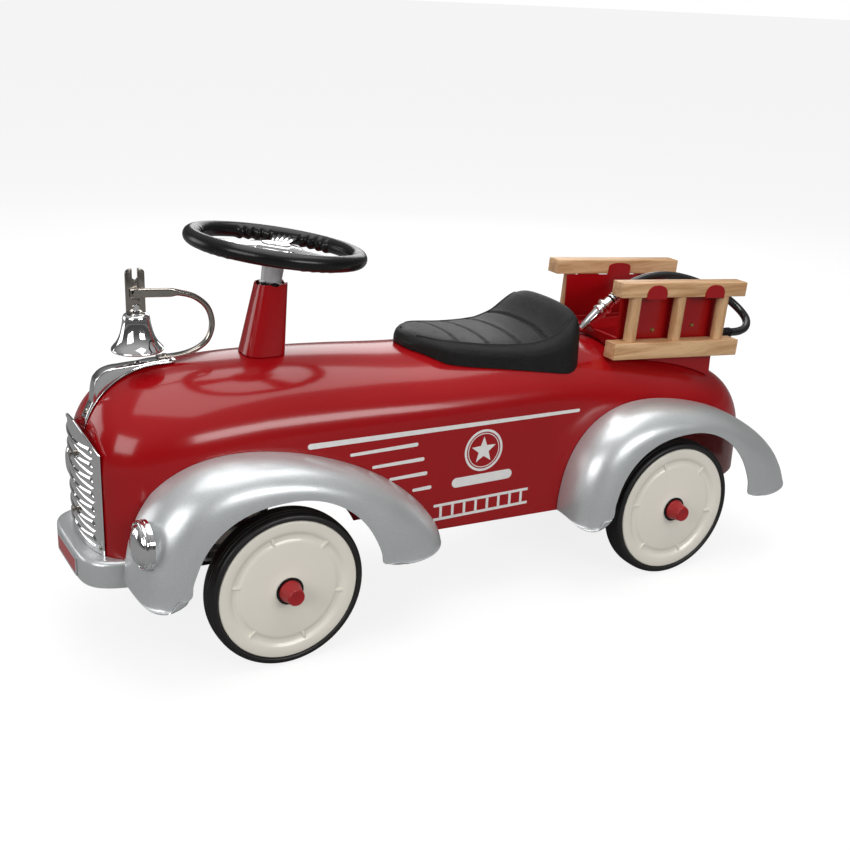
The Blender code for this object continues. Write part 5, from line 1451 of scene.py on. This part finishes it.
def tyre_profile():
    """Black ring tyre with rounded shoulders and fine grooves round its tread."""
    half, inner = TYRE_WIDTH / 2, DISC_RADIUS + gap
    profile = [(inner, half * 0.80), (inner + 0.0004, half * 0.93), (inner + 0.0012, half * 0.99),
               (inner + 0.0024, half)]
    for angle in spread(math.radians(20), math.radians(160), 72):
        radius = inner + (TYRE_RADIUS - inner) * math.sin(angle) ** 0.45
        across = half * power(math.cos(angle), 0.75)
        groove = 0.0
        for place in (-0.0072, -0.0036, 0.0, 0.0036, 0.0072):
            groove = max(groove, 0.0009 * max(0.0, 1 - ((across - place) / 0.0008) ** 2))
        profile.append((radius - groove, across))
    return profile + [(r, -h) for r, h in reversed(profile[:4])] + [profile[0]]


def disc_profile():
    """Cream disc: a shallow dish with a recessed ring and a raised edge, open behind."""
    face, bore = DISC_FACE, 0.0045
    return [(bore, face + 0.0006), (0.0110, face + 0.0004), (0.0120, face - 0.0002), (0.0240, face - 0.0005),
            (0.0380, face - 0.0012), (0.0450, face - 0.0017), (0.0468, face - 0.0019),
            (0.0484, face - 0.0030), (0.0492, face - 0.0033), (0.0528, face - 0.0033),
            (0.0538, face - 0.0028), (0.0556, face - 0.0012), (0.0575, face - 0.0007),
            (DISC_RADIUS - 0.0014, face - 0.0002), (DISC_RADIUS - 0.0005, face - 0.0005),
            (DISC_RADIUS, face - 0.0014), (DISC_RADIUS, -face * 0.6), (DISC_RADIUS - 0.0016, -face * 0.6),
            (DISC_RADIUS - 0.0016, face - 0.0065), (0.016, face - 0.0060), (0.013, -face), (bore, -face),
            (bore, face + 0.0006)]


def washer_profile():
    low, high = DISC_FACE + 0.0007, DISC_FACE + 0.0012
    return [(0.0128, high), (0.0131, DISC_FACE + 0.0009), (0.0131, low), (0.0052, low), (0.0052, high),
            (0.0128, high)]


def cap_profile():
    """Rubber hub cap, narrower towards its end, with a foot that reaches into the disc's bore."""
    base = DISC_FACE + 0.0008 + gap
    end = base + CAP_LENGTH
    return [(0.0, end - 0.0006), (0.0040, end - 0.0004), (CAP_END_RADIUS - 0.0008, end),
            (CAP_END_RADIUS - 0.0001, end - 0.0006), (CAP_END_RADIUS + 0.0004, end - 0.0030),
            (CAP_BASE_RADIUS - 0.0010, base + 0.0035), (CAP_BASE_RADIUS - 0.0004, base + 0.0022),
            (CAP_BASE_RADIUS, base + 0.0016), (CAP_BASE_RADIUS, base + 0.0003), (0.0048, base + 0.0003),
            (0.0048, DISC_FACE - 0.0015), (0.0, DISC_FACE - 0.0015)]


def disc_ribs(turn):
    """Short raised ribs across the disc's recessed ring."""
    ribs = []
    for i in range(DISC_RIBS):
        rib = box("rib", (0.0466, -0.0013, DISC_FACE - 0.0036), (0.0560, 0.0013, DISC_FACE - 0.0016))
        rib = bevelled(rib, 0.0006, 3)
        rib.data.transform(turn @ Matrix.Rotation(math.radians(360 / DISC_RIBS * i + 17), 4, "Z"))
        ribs.append(rib)
    return ribs


def make_wheel(corner, turn):
    """Tyre, ribbed disc, washer and hub cap of one wheel."""
    body = f"wheel_{corner}"
    keep(turned(f"tread_tyre_{corner}", tyre_profile(), 128, turn), TYRE_RUBBER, body, (f"tyre_{corner}",),
         sharp=50)
    keep(turned(f"disc_{corner}", disc_profile(), 128, turn), CREAM, body, (f"wheel_disc_{corner}",),
         sharp=50)
    keep(merged(f"disc_ribs_{corner}", disc_ribs(turn)), CREAM, body)
    keep(turned(f"washer_{corner}", washer_profile(), 64, turn), BLACK_PLASTIC, body)
    keep(turned(f"cap_{corner}", cap_profile(), 64, turn), CAP_RUBBER, body, (f"hub_cap_{corner}",),
         sharp=40)


def make_wheels():
    for side, word in SIDES:
        for where, axle_y in (("front", 0.0), ("rear", wheelbase)):
            centre = Vector((side * WHEEL_MIDDLE_X, axle_y, axle_z))
            turn = Matrix.Translation(centre) @ Matrix.Rotation(side * math.pi / 2, 4, "Y")
            make_wheel(f"{where}_{word}", turn)


# Saddle

SEAT_TOP = ((0.168, 0.2560), (0.172, 0.2620), (0.182, 0.2650), (0.200, 0.2645), (0.216, 0.2625),
            (0.235, 0.2600), (0.254, 0.2585), (0.270, 0.2578), (0.285, 0.2580), (0.300, 0.2610),
            (0.310, 0.2645), (0.318, 0.2695), (0.326, 0.2755), (0.334, 0.2815), (0.341, 0.2845),
            (0.345, 0.2810))
SEAT_PLAN = ((0.168, 0.010), (0.170, 0.016), (0.175, 0.024), (0.185, 0.0375), (0.194, 0.0475),
             (0.208, 0.0525), (0.222, 0.0558), (0.246, 0.0600), (0.271, 0.0642), (0.296, 0.0680),
             (0.320, 0.0703), (0.330, 0.0690), (0.339, 0.0640), (0.345, 0.0570))
SEAT_CROWN = 0.004
SEAT_FRONT_Y = 0.168
SEAT_REAR_Y = 0.345
SEAT_GROOVES = (0.214, 0.246, 0.280, 0.308)


def seat_relief(x, y):
    """Pressed lines on the top: a raised border some way inside the outline, and grooves across the panel."""
    border = between(SEAT_PLAN, y) - 0.0125
    if abs(x) > border + 0.004 or not SEAT_FRONT_Y + 0.010 < y < SEAT_REAR_Y - 0.008:
        return 0.0
    bead = max(0.0, 1 - ((abs(x) - border) / 0.0020) ** 2)
    groove = 0.0
    if abs(x) < border - 0.001:
        for place in SEAT_GROOVES:
            bow = 0.004 * (x / border) ** 2
            groove = max(groove, 1 - ((y - place + bow) / 0.0024) ** 2)
    return 0.0012 * bead - 0.0016 * groove


def make_seat():
    """Saddle resting on the body, with a crowned top and pressed lines."""
    clear, across, under = 0.0010, 120, 24
    rings = []
    for way in spread(0, 1, 150):
        y = SEAT_FRONT_Y + (SEAT_REAR_Y - SEAT_FRONT_Y) * (3 * way ** 2 - 2 * way ** 3) ** 0.9
        half, top = between(SEAT_PLAN, y), between(SEAT_TOP, y)
        edge = body_top(half, y) + clear
        ring = [Vector((x, y, max(body_top(x, y) + clear, edge if abs(x) == half else 0)))
                for x in spread(-half, half, under)]
        for angle in spread(0, math.pi, across)[1:-1]:
            x = half * power(math.cos(angle), 0.45)
            crown = max(top - SEAT_CROWN * (x / half) ** 2, edge + 0.006)
            z = edge + 0.002 + (crown - edge - 0.002) * abs(math.sin(angle)) ** 0.30
            ring.append(Vector((x * 0.995, y, z + seat_relief(x, y))))
        rings.append(ring)
    keep(loft("saddle", rings), SEAT_SKIN, "chassis", ("seat",), sharp=60)


# Carrier and ladders

PANEL_X = 0.0480
PANEL_FRONT_Y = 0.400
PANEL_REAR_Y = 0.533
PANEL_SCREW_PLACES = (0.446, 0.500)
PANEL_SCREW_Z = 0.2505
TRAY_FRONT_Z = 0.2460
TRAY_FALL = 0.0040
TRAY_FLOOR_Z = 0.2390
TRAY_WALL = 0.0025
TRAY_END_WALL = 0.004
LADDER_LENGTH = 0.169
LADDER_MIDDLE_Y = 0.472
LADDER_TILT = math.radians(4.3)
RAIL_WIDTH = 0.0180
TOP_RAIL_HEIGHT = 0.0155
LOWER_RAIL_HEIGHT = 0.0175
RAIL_SPACING = 0.0640
TOP_RAIL_Z = 0.2952
RUNG_RADIUS = 0.0065
RUNG_SPACING = 0.060
TAB_WIDTH = 0.026
TAB_SPACING = 0.079
INNER_TAB_WIDTH = 0.030


def ladder_matrix():
    return Matrix.Translation((0, LADDER_MIDDLE_Y, TOP_RAIL_Z)) @ Matrix.Rotation(-LADDER_TILT, 4, "X")


def tab_outline(middle, width, low_z, round_z, rise):
    """A tab with a square foot and a round top, from its middle and width along the rail."""
    half = width / 2
    top = [(middle + half * power(math.cos(a), 0.8), round_z + rise * math.sin(a))
           for a in spread(0, math.pi, 24)]
    return [(middle - half, low_z), (middle + half, low_z)] + top


def carrier_panel(side, tilt):
    """An upright sheet panel with two hooks that cradle the ladder's top rail, and a guard inside it."""
    rail_low = -TOP_RAIL_HEIGHT / 2 - gap
    inner_x, outer_x = PANEL_X - SHEET, PANEL_X + gap + RAIL_WIDTH + gap
    shelf_ends = sorted((side * inner_x, side * (outer_x + SHEET)))
    low_line, high_line = [], []
    for y in spread(PANEL_FRONT_Y, PANEL_REAR_Y, 30):
        low_line.append((y, max(body_top(inner_x, y), body_top(PANEL_X, y)) + 0.0010))
        along = (y - LADDER_MIDDLE_Y) / math.cos(LADDER_TILT)
        high_line.append((y, (tilt @ Vector((0, along, rail_low))).z))
    panel = plate("panel", low_line + high_line[::-1], side * inner_x, side * PANEL_X)
    for middle in (-TAB_SPACING / 2, TAB_SPACING / 2):
        shelf = box("shelf", (shelf_ends[0], middle - TAB_WIDTH / 2, rail_low - SHEET),
                    (shelf_ends[1], middle + TAB_WIDTH / 2, rail_low))
        tab = plate("tab", tab_outline(middle, TAB_WIDTH, rail_low - SHEET, rail_low + 0.0038, 0.0097),
                    side * outer_x, side * (outer_x + SHEET))
        for piece in (shelf, tab):
            piece.data.transform(tilt)
            panel = join(panel, piece)
    guard_round_z = TOP_RAIL_HEIGHT / 2 - 0.0075
    guard = plate("guard", tab_outline(0, INNER_TAB_WIDTH, rail_low - 0.002, guard_round_z, 0.0045),
                  side * inner_x, side * PANEL_X)
    guard.data.transform(tilt)
    return join(panel, guard)


def panel_screws(side):
    """Slotted screws that hold a carrier panel to the tray."""
    screws = []
    face = side * PANEL_X
    slot_ends = sorted((face + side * 0.0008, face + side * 0.003))
    for y in PANEL_SCREW_PLACES:
        head = rod("head", (face, y, PANEL_SCREW_Z), (face + side * 0.0014, y, PANEL_SCREW_Z), 0.0026, 0.0018,
                   sides=32)
        slot = box("slot", (slot_ends[0], y - 0.0003, PANEL_SCREW_Z - 0.004),
                   (slot_ends[1], y + 0.0003, PANEL_SCREW_Z + 0.004))
        screws.append(cut(head, slot))
    return screws


def make_carrier():
    """A sheet panel with its screws on each side, and a tray between them."""
    tilt = ladder_matrix()
    for side, word in SIDES:
        panel = carrier_panel(side, tilt)
        panel.name = f"side_panel_{word}"
        keep(bevelled(panel, 0.0003, 2), RED_PAINT, "chassis", (f"carrier_panel_{word}",),
             sharp=30)
        keep(merged(f"panel_screws_{word}", panel_screws(side)), BRASS, "chassis",
             sharp=30)
    make_tray()


def make_tray():
    """Shallow tray between the panels, shaped to the body below and a little lower at its rear."""
    inner = PANEL_X - SHEET - gap

    def build(bm):
        rows = []
        for i, y in enumerate(spread(PANEL_FRONT_Y, PANEL_REAR_Y, 24)):
            high = TRAY_FRONT_Z - TRAY_FALL * i / 24
            row = [Vector((x, y, body_top(x, y) + 0.0010)) for x in spread(-inner, inner, 30)]
            rows.append(row + [Vector((inner, y, high)), Vector((-inner, y, high))])
        verts = skin(bm, rows, closed=True)
        bm.faces.new(verts[0])
        bm.faces.new(verts[-1][::-1])
        bmesh.ops.recalc_face_normals(bm, faces=bm.faces)
    tray = mesh_from("tray", build)
    tray = cut(tray, box("hollow", (-inner + TRAY_WALL, PANEL_FRONT_Y + TRAY_END_WALL, TRAY_FLOOR_Z),
                         (inner - TRAY_WALL, PANEL_REAR_Y - TRAY_END_WALL, 0.28)))
    tray = bevelled(tray, 0.0011, 3, angle=50)
    tray.name = "load_tray"
    keep(tray, RED_PAINT, "chassis", ("carrier_tray",), sharp=35)


def make_ladders():
    """Two ladders: top rail, lower rail and three rungs each."""
    tilt = ladder_matrix()
    half = LADDER_LENGTH / 2
    inner_x = PANEL_X + gap
    low_top = -RAIL_SPACING + LOWER_RAIL_HEIGHT / 2
    rails = (("top", "top_rail", -TOP_RAIL_HEIGHT / 2, TOP_RAIL_HEIGHT / 2, 0.0),
             ("lower", "lower_rail", -RAIL_SPACING - LOWER_RAIL_HEIGHT / 2, low_top, 0.0015))
    for side, word in SIDES:
        body = f"ladder_{word}"
        for label, cad_name, low, high, shift in rails:
            ends = sorted((side * (inner_x + shift), side * (inner_x + RAIL_WIDTH + shift)))
            rail = bevelled(box("rail", (ends[0], -half, low), (ends[1], half, high)), 0.0011, 4)
            rail.data.transform(tilt)
            rail.name = f"{label}_rail_{word}"
            keep(rail, RAIL_WOOD, body, (f"ladder_{cad_name}_{word}",), sharp=40)
        x = side * (inner_x + RAIL_WIDTH / 2 + 0.0007)
        for i, place in ((-1, "front"), (0, "middle"), (1, "rear")):
            rung = rod(f"rung_{place}_{word}", tilt @ Vector((x, i * RUNG_SPACING, low_top + 0.0001)),
                       tilt @ Vector((x, i * RUNG_SPACING, -TOP_RAIL_HEIGHT / 2 - 0.0001)), RUNG_RADIUS,
                       sides=48)
            keep(rung, RUNG_WOOD, body, (f"ladder_rung_{place}_{word}",))


# Pieces whose CAD shape is shown as it is

def finish_frame_pieces():
    """Materials of the pieces that are shown with their CAD shape."""
    plain = ((ZINC, ("steering_shaft", "front_axle_beam", "knuckle_left", "knuckle_right", "tie_rod",
                     "rear_axle", "rear_axle_bracket")),
             (NICKEL, ("clapper", "bell_bolt", "grille_screw_lower", "grille_screw_upper")),
             (BLACK_PLASTIC, ("column_bush",)))
    for finish, names in plain:
        for name in names:
            data = frame["nodes"][name].data
            data.materials.clear()
            data.materials.append(finish)


# Floor and light

def make_light(name, location, target, width, height, watts):
    """A rectangular area light, turned to its target."""
    data = bpy.data.lights.new(name, "AREA")
    data.shape = "RECTANGLE"
    data.size = width
    data.size_y = height
    data.energy = watts
    light = bpy.data.objects.new(name, data)
    put_in_scene(light)
    light.location = location
    light.rotation_euler = (Vector(target) - Vector(location)).to_track_quat("-Z", "Y").to_euler()


def make_floor_paper():
    """White sweep: bright where it is seen directly, and dimmer in what the paint and chrome mirror."""
    made, tree, shader = start_material("floor_paper", specular_ior_level=0.0, roughness=0.8,
                                        emission_strength=1.0)
    ray = node(tree, "ShaderNodeLightPath")
    for label, seen, mirrored in (("Base Color", 0.20, 0.26), ("Emission Color", 0.84, 0.0)):
        colour = mixed(tree, ray.outputs["Is Camera Ray"], (mirrored, mirrored, mirrored, 1),
                       (seen, seen, seen, 1))
        tree.links.new(colour, shader.inputs[label])
    return made


def make_world():
    """White where it is seen directly; what the paint and chrome mirror is dark low down and grey above."""
    world = bpy.data.worlds.new("studio")
    bpy.context.scene.world = world
    world.use_nodes = True
    tree = world.node_tree
    background = tree.nodes["Background"]
    place = node(tree, "ShaderNodeTexCoord")
    height = node(tree, "ShaderNodeSeparateXYZ", {"Vector": place.outputs["Generated"]})
    greys = ((0.0, 0.20), (0.75, 0.42), (0.05, 0.06), (0.22, 0.09), (0.45, 0.22))
    sky = ramped(tree, height.outputs["Z"], *((position, (grey, grey, grey)) for position, grey in greys))
    ray = node(tree, "ShaderNodeLightPath")
    seen = mixed(tree, ray.outputs["Is Camera Ray"], sky, (1.0, 1.0, 1.0, 1))
    tree.links.new(seen, background.inputs["Color"])
    background.inputs["Strength"].default_value = 1.0


def make_studio():
    """Floor, world and lights."""
    def build(bm):
        bmesh.ops.create_circle(bm, cap_ends=True, segments=96, radius=30)
    floor = mesh_from("floor", build)
    put_in_scene(floor)
    floor.data.materials.append(make_floor_paper())
    make_world()
    make_light("overhead_softbox", (-0.1, 0.1, 1.9), (0, 0, 0.1), 1.6, 2.2, 25)
    make_light("front_softbox", (0.9, -1.9, 1.0), (0, -0.1, 0.15), 1.2, 0.8, 14)
    make_light("side_softbox", (2.1, 0.5, 1.0), (0, 0.05, 0.15), 1.3, 0.5, 17)
    make_light("nose_card", (-1.7, -2.0, 0.55), (0, -0.38, 0.16), 1.3, 1.0, 9)
    make_light("far_softbox", (-1.6, 0.9, 0.8), (0, 0.1, 0.2), 1.2, 0.8, 6)
    bpy.context.scene.view_settings.view_transform = "Standard"


make_camera()
make_hose()
make_body()
make_prints()
make_fenders()
make_bumper()
make_bumper_plate()
make_grille()
make_steering()
make_column_cover()
make_bell_arm(make_bracket())
make_bell()
make_strap()
make_wheels()
make_seat()
make_carrier()
make_ladders()
finish_frame_pieces()
make_studio()
